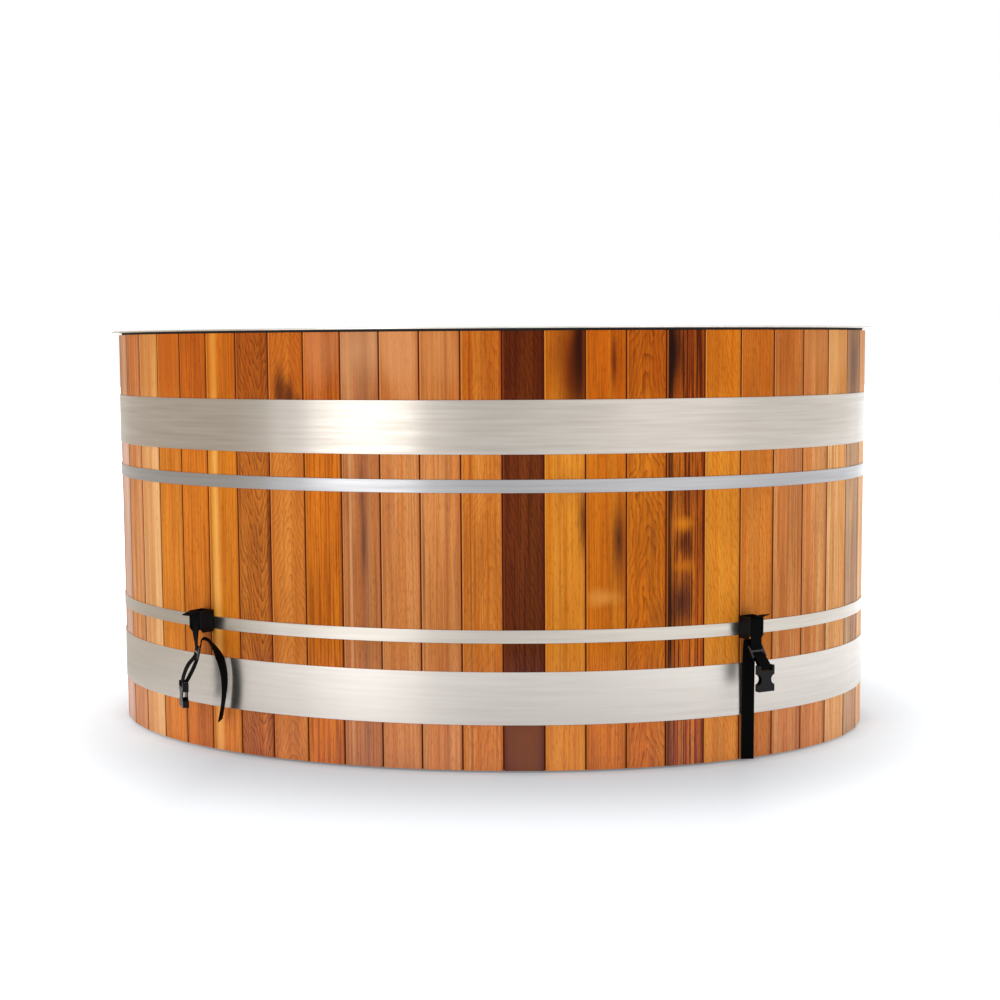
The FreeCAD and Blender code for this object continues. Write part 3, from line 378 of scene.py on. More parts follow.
@dataclass(frozen=True)
class CedarBoard(Finish):
    """Western red cedar, planed and oiled: satin face, straight dark latewood, streaks and scorched marks.

    Streaks and lines are the strengths of the pale bands and of the latewood, strength that of the figure,
    and middle is the figure's place in millimetres off the stave's own middle. Gloss is the span of the
    roughness, fade that of the edge of a stained patch or a painted sheen, bump the strength and the depth
    in millimetres of the relief, and seed the step and the start that set one stave's noise off from the
    next.
    """

    tone: CedarTone
    streaks: float
    lines: float
    stains_and_sheens: tuple[StainOrSheen, ...] = ()
    figure: Figure = Figure.STRAIGHT
    strength: float = 0.0
    middle: float = 0.0
    half_width: float = 38.8
    line_gain: float = 1.2
    slow_share: float = 0.27
    fleck_share: float = 0.34
    ring_sharpness: float = 3.2
    ragged: float = 0.35
    fade: Mark = (1.25, 0.2)
    gloss: Mark = (0.36, 0.5)
    specular: float = 0.05
    bump: Mark = (0.3, 0.2)
    seed: Mark = (3.7, 0.31)

    def surface(self, tree: Tree) -> Socket:
        """Builds the wood.

        Args:
            tree: Tree of the material.

        Returns:
            The shader's output.
        """
        place = map_place(tree, GRAIN_MAP)
        number = reckon(tree, "ROUND", place[0])
        across = reckon(tree, "SUBTRACT", place[0], number)
        seed = reckon(tree, "MULTIPLY_ADD", number, *self.seed)
        spot = add_node(tree, "ShaderNodeCombineXYZ", inputs={0: across, 1: place[1], 2: seed})[0]
        face = Face(across, place[1], spot)
        # Bands of paler growth about 15 mm wide that run most of a stave's length
        broad = self.pattern(tree, face, (15.0, 900.0), 2.0, (0.36, 0.64))
        # Latewood lines are about 1 mm apart; 3 mm is the finest that still shows in the picture
        fine = self.pattern(tree, face, (3.0, 240.0), 5.0, (0.47, 0.6))
        # Resin flecks, 2 mm wide and 16 mm long
        flecks = self.pattern(tree, face, (2.0, 16.0), 1.0, (0.54, 0.7))
        # Slow change of tone along the stave
        slow = self.pattern(tree, face, (45.0, 240.0), 1.0, (0.32, 0.68))
        dark, ridges = self.tone.dark, fine
        colour = mixed(tree, self.tone.ground, self.tone.pale, broad, self.streaks)
        colour = mixed(tree, colour, dark, slow, self.slow_share)
        colour = mixed(tree, colour, dark, fine, self.line_gain * self.lines)
        colour = mixed(tree, colour, dark, flecks, self.fleck_share)
        if self.figure is not Figure.STRAIGHT:
            ridges = self.rings(tree, face)
            colour = mixed(tree, colour, dark, ridges, self.strength)
        for stain_or_sheen in self.stains_and_sheens:
            colour = mixed(tree, colour, stain_or_sheen.colour, self.mask(tree, face, stain_or_sheen, slow))
        inputs = {
            "Base Color": self.edged(tree, colour, face),
            "Roughness": ranged(tree, fine, low=self.gloss[0], high=self.gloss[1]),
            "IOR": SKIN_IOR,
            "Specular IOR Level": self.specular,
            "Normal": relief(tree, ridges, *self.bump),
        }
        return shaded(tree, inputs)

    def noise(self, tree: Tree, face: Face, size: Mark, detail: float) -> Socket:
        """Noise about one half, in marks of a width and a length in millimetres."""
        return noise(tree, face.spot, (*size, 1 / MM), detail)

    def pattern(self, tree: Tree, face: Face, size: Mark, detail: float, span: Mark) -> Socket:
        """Share from zero to one of streaks along the stave, over the span of noise that differs."""
        return ranged(tree, self.noise(tree, face, size, detail), *span, kind=SMOOTH)

    def rings(self, tree: Tree, face: Face) -> Socket:
        """Growth rings where the face cuts them at an angle.

        Args:
            tree: Tree of the material.
            face: Place on the stave.

        Returns:
            A share from zero to one, highest on the latewood lines.
        """
        shape = self.figure.value
        # The rings wander over about 100 mm up the board and wave over about 20 mm
        drift = self.noise(tree, face, (400.0, 100.0), 1.0)
        wave = self.noise(tree, face, (22.0, 90.0), 3.0)
        low, high = ((-self.middle + side * shape.wander) * MM for side in (-1, 1))
        offset = reckon(tree, "ADD", face.across, ranged(tree, drift, low=low, high=high))
        corner = add_node(tree, "ShaderNodeCombineXYZ", inputs={0: offset, 1: shape.depth * MM})[0]
        total = reckon(tree, "MULTIPLY", face.height, shape.rise)
        away = reckon_vector(tree, "LENGTH", corner)
        for count, rate in ((away, shape.rings), (wave, shape.warp)):
            total = reckon(tree, "MULTIPLY_ADD", count, rate, total)
        # Each ring darkens slowly towards its latewood and ends sharply
        line = reckon(tree, "POWER", reckon(tree, "FRACT", total), self.ring_sharpness)
        # Strokes about 30 mm long break the lines up
        strokes = ranged(tree, self.noise(tree, face, (6.0, 30.0), 2.0), 0.35, 0.6, low=0.4)
        return reckon(tree, "MULTIPLY", line, strokes)

    def mask(self, tree: Tree, face: Face, stain_or_sheen: StainOrSheen, slow: Socket) -> Socket:
        """How far a stained patch or a painted sheen shows.

        Args:
            tree: Tree of the material.
            face: Place on the stave.
            stain_or_sheen: The mark.
            slow: Share that makes the mark's edge uneven.

        Returns:
            A share that fades out round the mark.
        """
        offset = reckon_vector(tree, "SUBTRACT", face.spot, (stain_or_sheen.across * MM, stain_or_sheen.height * MM, 0.0))
        shares = (1 / (stain_or_sheen.half_width * MM), 1 / (stain_or_sheen.half_height * MM), 0.0)
        far = reckon_vector(tree, "LENGTH", reckon_vector(tree, "MULTIPLY", offset, shares))
        uneven = reckon(tree, "MULTIPLY_ADD", slow, self.ragged, far)
        return ranged(tree, uneven, *self.fade, high=stain_or_sheen.strength, kind=SMOOTH)

    def edged(self, tree: Tree, colour: Socket, face: Face) -> Socket:
        """Soaks the joints with oil, paints a highlight on the left edge, darkens the top and paints light
        on the foot.

        Args:
            tree: Tree of the material.
            colour: Colour of the wood so far.
            face: Place on the stave.

        Returns:
            The colour with its edges.
        """
        half, away = self.half_width, reckon(tree, "ABSOLUTE", face.across)
        # The wood darkens and deepens towards the top, and painted light and sheen lift the foot paler and
        # pinker: heights in mm, gain and lift
        reaches = (
            (600.0, 730.0, (0.82, 0.66, 0.4), (0.0, 0.0, 0.0)),
            (240.0, 20.0, (1.34, 1.3, 1.3), (0.01, 0.02, 0.04)),
        )
        for start, end, gain, lift in reaches:
            changed = reckon_vector(tree, "MULTIPLY_ADD", colour, gain, lift)
            colour = mixed(tree, colour, changed, ranged(tree, face.height, start * MM, end * MM))
        # Halo of the oil, painted highlight on the left edge, and joint: where each starts and ends in
        # millimetres, and how strong
        layers = (
            (away, half - 8.0, half - 1.5, 0.42, self.tone.dark),
            # Painted highlight: the pale strip along the left edge paints the light that the eased edge
            # catches
            (face.across, 4.6 - half, 2.6 - half, 0.5, self.tone.pale),
            (away, half - 2.1, half - 1.2, 0.92, JOINT_OIL),
        )
        for place, start, end, most, tint in layers:
            colour = mixed(tree, colour, tint, ranged(tree, place, start * MM, end * MM, high=most))
        return colour


@dataclass(frozen=True)
class Mottled(Finish):
    """Surface whose colour, gloss and relief follow one fine noise.

    Its marks are grain by stretch millimetres along the axes, uneven is the share by which the
    roughness varies, and the relief is depth millimetres deep.
    """

    colour: str
    shade: str
    roughness: float
    grain: float = 1.0
    stretch: Triple = (1.0, 1.0, 1.0)
    detail: float = 2.0
    uneven: float = 0.0
    depth: float = 0.0
    strength: float = 0.4
    specular: float = 0.5
    metal: bool = False

    def surface(self, tree: Tree) -> Socket:
        """Builds the surface.

        Args:
            tree: Tree of the material.

        Returns:
            The shader's output.
        """
        share = noise(tree, object_place(tree), [self.grain * axis for axis in self.stretch], self.detail)
        rough: Any = self.roughness
        if self.uneven:
            rough = ranged(tree, share, low=rough * (1 - self.uneven), high=rough * (1 + self.uneven))
        inputs = {"Base Color": mixed(tree, self.shade, self.colour, share), "Roughness": rough}
        if self.depth:
            inputs["Normal"] = relief(tree, share, self.strength, self.depth)
        if self.metal:
            inputs["Metallic"] = 1.0
        else:
            inputs |= {"IOR": SKIN_IOR, "Specular IOR Level": self.specular}
        return shaded(tree, inputs)


@dataclass(frozen=True)
class CedarSide(Mottled):
    """Sawn cedar of the staves' sides and ends, soaked with oil: dull, dark red-brown and open-grained."""

    grain: float = 2.0
    depth: float = 0.3
    specular: float = 0.0


@dataclass(frozen=True)
class CastMetal(Mottled):
    """Turned, cast or plated metal: an even colour with fine tool marks in the gloss."""

    grain: float = 1.5
    detail: float = 3.0
    uneven: float = 0.2
    metal: bool = True


@dataclass(frozen=True)
class Moulded(Mottled):
    """Moulded, dipped or sprayed polymer: one colour, a fine skin texture and slightly uneven gloss."""

    grain: float = 1.2
    uneven: float = 0.15
    depth: float = 0.05


@dataclass(frozen=True)
class Plywood(Mottled):
    """Birch plywood and pine: pale faces with grain drawn 4 mm wide, and plies 3 mm thick on the edges."""

    stretch: Triple = (180.0, 4.0, 3.0)
    detail: float = 3.0
    depth: float = 0.2
    strength: float = 0.3


@dataclass(frozen=True)
class BrushedSteel(Finish):
    """Stainless strip or sheet, brushed along its length: a soft sheen drawn out across the brush lines.

    Brush is the size of its smears in millimetres along the axes, contrast the span of their noise that
    shows, and bump the strength and the depth in millimetres of the relief.
    """

    colour: str
    shade: str
    roughness: float = 0.32
    brush: Triple = (170.0, 170.0, 6.0)
    anisotropic: float = 0.7
    uneven: float = 0.03
    bump: Mark = (0.2, 0.02)
    detail: float = 4.0
    contrast: Mark = (0.3, 0.7)
    quarter_turn: float = 0.25

    def surface(self, tree: Tree) -> Socket:
        """Builds the brushed metal.

        Args:
            tree: Tree of the material.

        Returns:
            The shader's output.
        """
        # A brush line is about 0.1 mm wide; smears 6 mm wide and lines down to 1 mm show in the picture
        lines = noise(tree, object_place(tree), self.brush, self.detail)
        share = ranged(tree, lines, *self.contrast)
        tangent = add_node(tree, "ShaderNodeTangent", {"direction_type": "RADIAL", "axis": "Z"})[0]
        dull, bright = self.roughness + self.uneven, self.roughness - self.uneven
        inputs = {
            "Base Color": mixed(tree, self.shade, self.colour, share),
            "Metallic": 1.0,
            "Roughness": ranged(tree, share, low=dull, high=bright),
            "Anisotropic": self.anisotropic,
            "Anisotropic Rotation": self.quarter_turn,
            "Tangent": tangent,
            "Normal": relief(tree, lines, *self.bump),
        }
        return shaded(tree, inputs)


@dataclass(frozen=True)
class Webbing(Finish):
    """Woven polyester webbing: dull deep black with cross ribs and long yarns that only show near by."""

    colour: str
    shade: str
    rib: float = 3.2
    yarn: float = 3.1
    roughness: float = 0.72
    specular: float = 0.03
    bump: Mark = (0.6, 0.25)

    def surface(self, tree: Tree) -> Socket:
        """Builds the weave.

        Args:
            tree: Tree of the material.

        Returns:
            The shader's output.
        """
        place = map_place(tree, WEAVE_MAP)
        # Picks are about 1 mm apart; they are drawn about 3 mm apart, the finest that shows in the picture
        waves = [
            reckon(tree, "SINE", reckon(tree, "MULTIPLY", place[axis], 2 * math.pi / (period * MM)))
            for axis, period in enumerate((self.rib, self.yarn))
        ]
        share = ranged(tree, reckon(tree, "MULTIPLY", *waves), start=-1.0)
        inputs = {
            "Base Color": mixed(tree, self.shade, self.colour, share),
            "Roughness": self.roughness,
            "IOR": SKIN_IOR,
            "Specular IOR Level": self.specular,
            "Normal": relief(tree, share, *self.bump),
        }
        return shaded(tree, inputs)


@dataclass(frozen=True)
class StudioFloor(Finish):
    """Matt white paper sweep: it keeps a soft contact shadow, deepened by painted shade in its glow, and
    turns fully white away from the tub.

    Each reach of its glow runs from a start to an end, counted in half sizes of the tub or, beside its
    ends, in metres, and from a low to a high strength.
    """

    colour: str = "#c6d0d9"
    half_length: float = 0.81
    half_width: float = 0.563
    middle: float = 0.06
    roughness: float = 0.9
    near: Reach = (1.0, 1.85, 0.28, 0.68)
    edge: Reach = (1.0, 1.05, -0.09, 0.0)
    far: Reach = (1.7, 4.0, 0.0, 0.44)
    side: Reach = (0.5, 1.0, 0.0, 0.45)

    def surface(self, tree: Tree) -> Socket:
        """Builds the paper.

        Args:
            tree: Tree of the material.

        Returns:
            The shader's output.
        """
        place = object_place(tree)
        shares = (1 / self.half_length, 1 / self.half_width, 0.0)
        away = reckon_vector(tree, "LENGTH", reckon_vector(tree, "MULTIPLY", place, shares))
        x = add_node(tree, "ShaderNodeSeparateXYZ", inputs={0: place})[0]
        aside = reckon(tree, "ABSOLUTE", reckon(tree, "SUBTRACT", x, self.middle))
        # Painted shade and light: the glow is least in the last 30 mm before the staves, which paints a
        # darker contact line, and grows away from the tub, which paints the soft shadow's fade; far off it
        # turns the paper white, and beside the tub's ends it paints the paper brighter, where the lamps
        # reach under it
        glow = ranged(tree, away, *self.near, kind=SMOOTH)
        for place, reach in ((away, self.edge), (away, self.far), (aside, self.side)):
            glow = reckon(tree, "ADD", glow, ranged(tree, place, *reach))
        inputs = {
            "Base Color": linear(self.colour),
            "Roughness": self.roughness,
            "Specular IOR Level": 0.0,
            "Emission Color": linear("#ffffff"),
            "Emission Strength": glow,
        }
        return shaded(tree, inputs)


@dataclass(frozen=True)
class StudioScrim(Finish):
    """Pale cloth on a frame with light through it: the steel mirrors it as a warmer, darker left half."""

    colour: str

    def surface(self, tree: Tree) -> Socket:
        """Builds the cloth's even glow."""
        return add_node(tree, "ShaderNodeEmission", inputs={"Color": linear(self.colour)})[0]


CEDAR_SIDE = CedarSide("red_cedar_sawn_oiled_side", "#5a1a0b", "#390c05", 0.7)
# Painted light: the four hoops are one brushed strip, and its copies only paint how each hoop mirrors the
# studio: lighter on the lower wide hoop for the bright floor in it, a little lighter on the lower thin one,
# and darker and cooler grey on the upper thin one
HOOP_STEEL = BrushedSteel("stainless_steel_brushed_strip", "#b1aaa2", "#a69e95")
PAINTED_BRIGHT_HOOP_STEEL = BrushedSteel("stainless_steel_brushed_strip_painted_bright", "#cbc5be", "#c5beb7", 0.38)
PAINTED_WARM_HOOP_STEEL = BrushedSteel("stainless_steel_brushed_strip_painted_warm", "#bbb4ab", "#b2aba2")
PAINTED_COOL_HOOP_STEEL = BrushedSteel("stainless_steel_brushed_strip_painted_cool", "#9f9e9f", "#959495")
RIM_STEEL = BrushedSteel(
    "stainless_steel_brushed_rim", "#d2cfc9", "#bebbb4", brush=(220.0, 4.0, 4.0), anisotropic=0.3
)
LINER_STEEL = BrushedSteel(
    "stainless_steel_brushed_liner", "#e4e3e0", "#d3d2cf", 0.36, brush=(220.0, 220.0, 4.0)
)
LINER_FLOOR_STEEL = BrushedSteel(
    "stainless_steel_brushed_floor", "#e4e3e0", "#d3d2cf", 0.38, (240.0, 4.0, 4.0), anisotropic=0.0
)
FASTENER_STEEL = CastMetal("stainless_steel_turned_fastener", "#c4c4c2", "#a9a9a7", 0.32)
CHROME = CastMetal("chromium_plated_brass", "#d6d8da", "#c6c8ca", 0.1)
BRASS = CastMetal("brass_cast_tumbled", "#c9a258", "#a9823d", 0.38, grain=2.0)
RUBBER = Moulded("nitrile_rubber_moulded", "#1b1b1c", "#121213", 0.75, depth=0.08)
PIPE_PVC = Moulded("pvc_extruded_pipe", "#e2e2de", "#d4d4cf", 0.38)
PORT_ABS = Moulded("abs_moulded_port", "#dfe0e0", "#d0d1d1", 0.35, grain=0.9)
RUNNER_HDPE = Moulded("hdpe_sawn_runner", "#2b2c2e", "#1f2022", 0.55, grain=2.5, depth=0.15)
LEVER_VINYL = Moulded("vinyl_dipped_lever", "#b3201c", "#991814", 0.35, depth=0.08)
FOAM = Moulded("polyurethane_foam_sawn", "#e4d9a8", "#cbbd86", 0.9, grain=3.0, depth=0.6)
POWDER_COAT = Moulded(
    "steel_powder_coated_black", "#0b0b0c", "#060607", 0.45, grain=1.0, depth=0.06, specular=0.08
)
ACETAL = Moulded("acetal_moulded_black", "#0c0c0e", "#070708", 0.34, grain=0.8, depth=0.04, specular=0.14)
SLIDER_ACETAL = Moulded("acetal_moulded_black_gloss", "#0c0c0e", "#070708", 0.22, grain=0.8, depth=0.04)
STRAP_WEBBING = Webbing("polyester_webbing_woven_black", "#0a0a0b", "#040405")
BIRCH_PLY = Plywood("birch_plywood_sawn", "#c9a777", "#a8834f", 0.65)


# Oval and its flat facets


@dataclass
class Facet:
    """Flat outer face of one stave."""

    start: Vector
    end: Vector

    def __post_init__(self) -> None:
        """Works out the face's middle and directions."""
        self.middle = (self.start + self.end) / 2
        self.along = (self.end - self.start).normalized()
        self.normal = Vector((self.along.y, -self.along.x, 0.0))
        self.reach = self.normal.dot(self.middle)

    def spot(self, along: float, out: float, height: float = 0.0) -> Vector:
        """Point at a distance along the face, out of it and up."""
        return self.middle + self.along * along + self.normal * out + UP * height


@dataclass
class Oval:
    """Oval of the staves' outer edges, with one stave centred at the front."""

    half_length: float = 0.810
    half_width: float = 0.5626
    count: int = 56
    steps: int = 20000

    def __post_init__(self) -> None:
        """Divides the oval into equal arcs."""
        line = [self.point(2 * math.pi * step / self.steps) for step in range(self.steps + 1)]
        arcs = [0.0]
        for before, after in zip(line, line[1:]):
            arcs.append(arcs[-1] + (after - before).length)
        joints: list[Vector] = []
        step = 0
        for joint in range(self.count):
            target = (joint + 0.5) * arcs[-1] / self.count
            while arcs[step + 1] < target:
                step += 1
            share = (target - arcs[step]) / (arcs[step + 1] - arcs[step])
            joints.append(line[step].lerp(line[step + 1], share))
        self.facets = [Facet(joints[index - 1], joints[index]) for index in range(self.count)]

    def point(self, turn: float, offset: float = 0.0) -> Vector:
        """Point of the oval, or of one outside it by an offset, by its turn from the front."""
        major, minor = self.half_length + offset, self.half_width + offset
        return Vector((major * math.sin(turn), -minor * math.cos(turn), 0.0))

    def facet(self, index: int) -> Facet:
        """Face of a stave, numbered rightwards from the front middle."""
        return self.facets[index % self.count]

    def corner(self, index: int, depth: float) -> Vector:
        """Joint between a stave and the one before it, at a depth behind the faces.

        Args:
            index: Number of the stave after the joint.
            depth: Distance behind the faces.

        Returns:
            The point at floor level.
        """
        first, second = self.facet(index - 1), self.facet(index)
        near, far = first.reach - depth, second.reach - depth
        cross = first.normal.x * second.normal.y - first.normal.y * second.normal.x
        x = (near * second.normal.y - far * first.normal.y) / cross
        y = (first.normal.x * far - second.normal.x * near) / cross
        return Vector((x, y, 0.0))


@dataclass
class Assembly:
    """Group of pieces that is built on the tub's oval, with the angles and steps of eased edges."""

    oval: Oval
    weld: float = 0.002 * MM
    flat_angle: float = 0.5
    eased_sharp: float = 30.0
    bevel_angle: float = 35.0
    bevel_steps: int = 2

    def add(
        self,
        mesh: Mesh,
        name: str,
        finishes: Sequence[Finish],
        slot: str,
        body: str = TUB,
        nodes: Sequence[str] = (),
        sharp: float = 12.0,
    ) -> bpy.types.Object:
        """Makes a piece of a mesh and ties it to the frame.

        Args:
            mesh: Finished mesh, which is freed.
            name: Name of the piece.
            finishes: Finishes in the order of the faces' numbers.
            slot: Material slot of the record; not used.
            body: Body that the piece rides on.
            nodes: Solids that the piece stands for.
            sharp: Angle in degrees above which an edge is sharp.

        Returns:
            The piece.
        """
        bmesh.ops.recalc_face_normals(mesh, faces=mesh.faces[:])
        data = bpy.data.meshes.new(name)
        mesh.to_mesh(data)
        mesh.free()
        for finish in finishes:
            data.materials.append(finish.material())
        data.shade_smooth()
        data.set_sharp_from_angle(angle=math.radians(sharp))
        piece = bpy.data.objects.new(name, data)
        bpy.context.scene.collection.objects.link(piece)
        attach(piece, body)
        if nodes:
            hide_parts(*nodes)
        LOG.info("%s rides %s, %d faces", name, body, len(data.polygons))
        return piece

    def dress(self, node: str, finish: Finish) -> None:
        """Gives a solid that stays in view its finish.

        Args:
            node: Name of the solid.
            finish: Its surface.
        """
        data = frame["nodes"][node].data
        data.materials.clear()
        data.materials.append(finish.material())
        LOG.info("%s dressed with %s", node, finish.name)

    def ease(self, node: str, finish: Finish, slot: str, radius: float) -> bpy.types.Object:
        """Stands a copy with rounded edges in for a rigid solid.

        Args:
            node: Name of the solid.
            finish: Its surface.
            slot: Material slot of the record.
            radius: Radius of the edges in millimetres.

        Returns:
            The rounded piece.
        """
        source = frame["nodes"][node]
        mesh = bmesh.new()
        mesh.from_mesh(source.data)
        bmesh.ops.remove_doubles(mesh, verts=mesh.verts[:], dist=self.weld)
        flat = math.radians(self.flat_angle)
        bmesh.ops.dissolve_limit(mesh, angle_limit=flat, verts=mesh.verts[:], edges=mesh.edges[:])
        for face in mesh.faces:
            face.material_index = 0
        body = source["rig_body"]
        piece = self.add(mesh, f"{node}_finished", [finish], slot, body, [node], self.eased_sharp)
        bevel = piece.modifiers.new("edges", "BEVEL")
        bevel.width = radius * MM
        bevel.segments = self.bevel_steps
        bevel.limit_method = "ANGLE"
        bevel.angle_limit = math.radians(self.bevel_angle)
        bevel.use_clamp_overlap = True
        bevel.harden_normals = True
        return piece


# Staves

# The staves that face the camera, rightwards from this number: tone, streaks, lines, and stained patches and
# painted sheens, then the figure with its strength and its middle
FIRST_FACING = -11
FACING_ROWS = (
    # Stave 1: its pale mark down the whole length is painted sheen, where the face turns away at the left
    # end
    (ROSE, 0.7, 0.2, (StainOrSheen(0, 420, 90, 1500, 0.5, "#e8cab8"),)),
    (TAN, 0.6, 0.25),
    (STRAW, 0.6, 0.3, (StainOrSheen(12, 420, 9, 900, 0.3, "#e9c596"), StainOrSheen(-26, 420, 44, 1500, 0.5, "#c07c40"))),
    (GOLD, 0.25, 0.35, (StainOrSheen(0, 790, 80, 130, 0.45, "#b45600"),)),
    (AMBER, 0.2, 0.35),
    (GOLD, 0.12, 0.35, (StainOrSheen(-20, 420, 15, 1200, 0.6, "#f0b860"),)),
    (RUSSET, 0.4, 0.25, (StainOrSheen(35, 420, 5, 200, 0.6),), Figure.HATCHED, 0.95, 14),
    (COPPER, 0.3, 0.2, (StainOrSheen(-14, 716, 16, 62, 0.85, "#4f1e0c"), StainOrSheen(8, 706, 20, 46, 0.85, "#4a1a0a"),
     StainOrSheen(28, 700, 12, 26, 0.7, "#5b2410")), Figure.ARCHED, 0.6, 6),
    # Staves 9 to 12: the first mark of each, pale and 800 mm up, is a painted highlight of the front-left
    # lamp on the oiled wood
    (AMBER, 0.15, 0.5, (StainOrSheen(0, 800, 80, 110, 0.4, "#dda68a"),)),
    (ROSE, 0.55, 0.3, (StainOrSheen(0, 800, 90, 120, 0.6, "#e2b8a4"), StainOrSheen(5, 425, 8, 110, 0.92, "#3a3026"),
     StainOrSheen(2, 530, 5, 80, 0.6, "#4a3428"), StainOrSheen(8, 420, 16, 900, 0.4, "#7d4a38"),
     StainOrSheen(-21, 420, 4, 900, 0.6, "#d19a68"))),
    (TAN, 0.35, 0.25, (StainOrSheen(0, 800, 90, 120, 0.5, "#eab89c"), StainOrSheen(-22, 500, 12, 160, 0.35, "#8d4f38")),
     Figure.ARCHED, 0.2),
    (TAN, 0.35, 0.3, (StainOrSheen(0, 800, 90, 110, 0.4, "#e6b08a"), StainOrSheen(12, 420, 6, 1200, 0.5, "#8a4a24"),
     StainOrSheen(-34, 380, 6, 200, 0.55, "#5b3322"))),
    (COPPER, 0.5, 0.3, (StainOrSheen(-21, 420, 3, 1500, 0.6, "#7c3d17"),), Figure.FLAMED, 0.4, 14),
    (WALNUT, 0.35, 0.35, (StainOrSheen(0, 30, 90, 190, 0.9, "#763e07"),), Figure.HATCHED, 0.55, 40),
    (HONEY, 0.35, 0.25, (StainOrSheen(14, 790, 64, 190, 0.9, "#742c06"), StainOrSheen(34, 810, 34, 190, 0.95, "#2a0d05"),
     StainOrSheen(38, 472, 20, 112, 0.97, "#260d06"), StainOrSheen(10, 540, 30, 60, 0.25, "#8a4a1c"))),
    # Stave 16: its pale, flat mark 332 mm up is a painted reflection on the oiled wood
    (AMBER, 0.35, 0.3, (StainOrSheen(25, 440, 22, 125, 0.95, "#40180f"), StainOrSheen(-4, 332, 44, 22, 0.6, "#dc9440"),
     StainOrSheen(16, 772, 8, 75, 0.85, "#5e2008"))),
    (AMBER, 0.4, 0.25, (StainOrSheen(14, 445, 12, 50, 0.55, "#6c3415"), StainOrSheen(22, 290, 24, 50, 0.4, "#7c3d17")),
     Figure.FLAMED, 0.9, -2),
    # Stave 18: its two orange, flat marks 468 and 387 mm up are painted reflections on the oiled wood
    (SMOKED, 0.7, 0.75, (StainOrSheen(4, 530, 46, 60, 0.55, "#5c2408"), StainOrSheen(-4, 430, 30, 36, 0.7, "#3a160a"),
     StainOrSheen(-8, 320, 32, 75, 0.85, "#2a1216"), StainOrSheen(-4, 468, 34, 22, 0.7, "#d87e12"),
     StainOrSheen(-6, 387, 34, 16, 0.55, "#c8700e"), StainOrSheen(6, 800, 34, 100, 0.45, "#4a2010"),
     StainOrSheen(-34, 420, 13, 3000, 0.95, "#240b06"), StainOrSheen(-28, 800, 27, 190, 0.97, "#1c0606"))),
    (HONEY, 0.4, 0.15, (), Figure.HATCHED, 0.4, 60),
    (COPPER, 0.35, 0.2, (), Figure.FLAMED, 0.25, -20),
    (TAN, 0.4, 0.35, (StainOrSheen(-24, 440, 4, 130, 0.5, "#7b3f24"), StainOrSheen(20, 560, 22, 200, 0.35, "#8b5240"))),
    (TAN, 0.8, 0.2, (StainOrSheen(0, 800, 80, 130, 0.35, "#e2ae88"),)),
    (STRAW, 0.5, 0.45, (StainOrSheen(0, 800, 80, 130, 0.4, "#f4cda6"),)),
    # Stave 24: its purple-grey mark at the top is painted sheen, where the face turns away at the right end
    (DUSK, 0.6, 0.35, (StainOrSheen(-10, 470, 30, 90, 0.6, "#d6a46a"), StainOrSheen(0, 770, 60, 190, 0.85, "#6a5255"))),
    (STRAW, 0.6, 0.3),
)
# Boards that the rest of the wall is dealt from: name and number of copies, then the same
OTHER_ROWS = (
    ("honey", 3, HONEY, 0.45, 0.3),
    ("honey_flamed", 3, HONEY, 0.4, 0.2, (), Figure.FLAMED, 0.6),
    ("gold_streaked", 3, GOLD, 0.3, 0.35, (StainOrSheen(-18, 420, 13, 1500, 0.5, "#f0b860"),
     StainOrSheen(30, 420, 6, 1500, 0.5))),
    ("amber", 4, AMBER, 0.4, 0.45),
    ("amber_slanted", 2, AMBER, 0.35, 0.2, (), Figure.HATCHED, 0.6, 60),
    ("copper_arched", 3, COPPER, 0.3, 0.2, (), Figure.ARCHED, 0.6, 8),
    ("copper_flamed", 2, COPPER, 0.4, 0.3, (), Figure.FLAMED, 0.5, -12),
    ("tan", 3, TAN, 0.5, 0.3),
    ("tan_arched", 2, TAN, 0.35, 0.2, (), Figure.ARCHED, 0.4),
    ("rose_streaked", 2, ROSE, 0.5, 0.3, (StainOrSheen(16, 420, 7, 1500, 0.55, "#6d4434"),
     StainOrSheen(-20, 420, 5, 1500, 0.5, "#d19a68"))),
    ("russet", 2, RUSSET, 0.4, 0.25, (), Figure.FLAMED, 0.7, 6),
    ("straw", 2, STRAW, 0.5, 0.35),
    ("walnut", 1, WALNUT, 0.35, 0.4, (), Figure.ARCHED, 0.3),
)


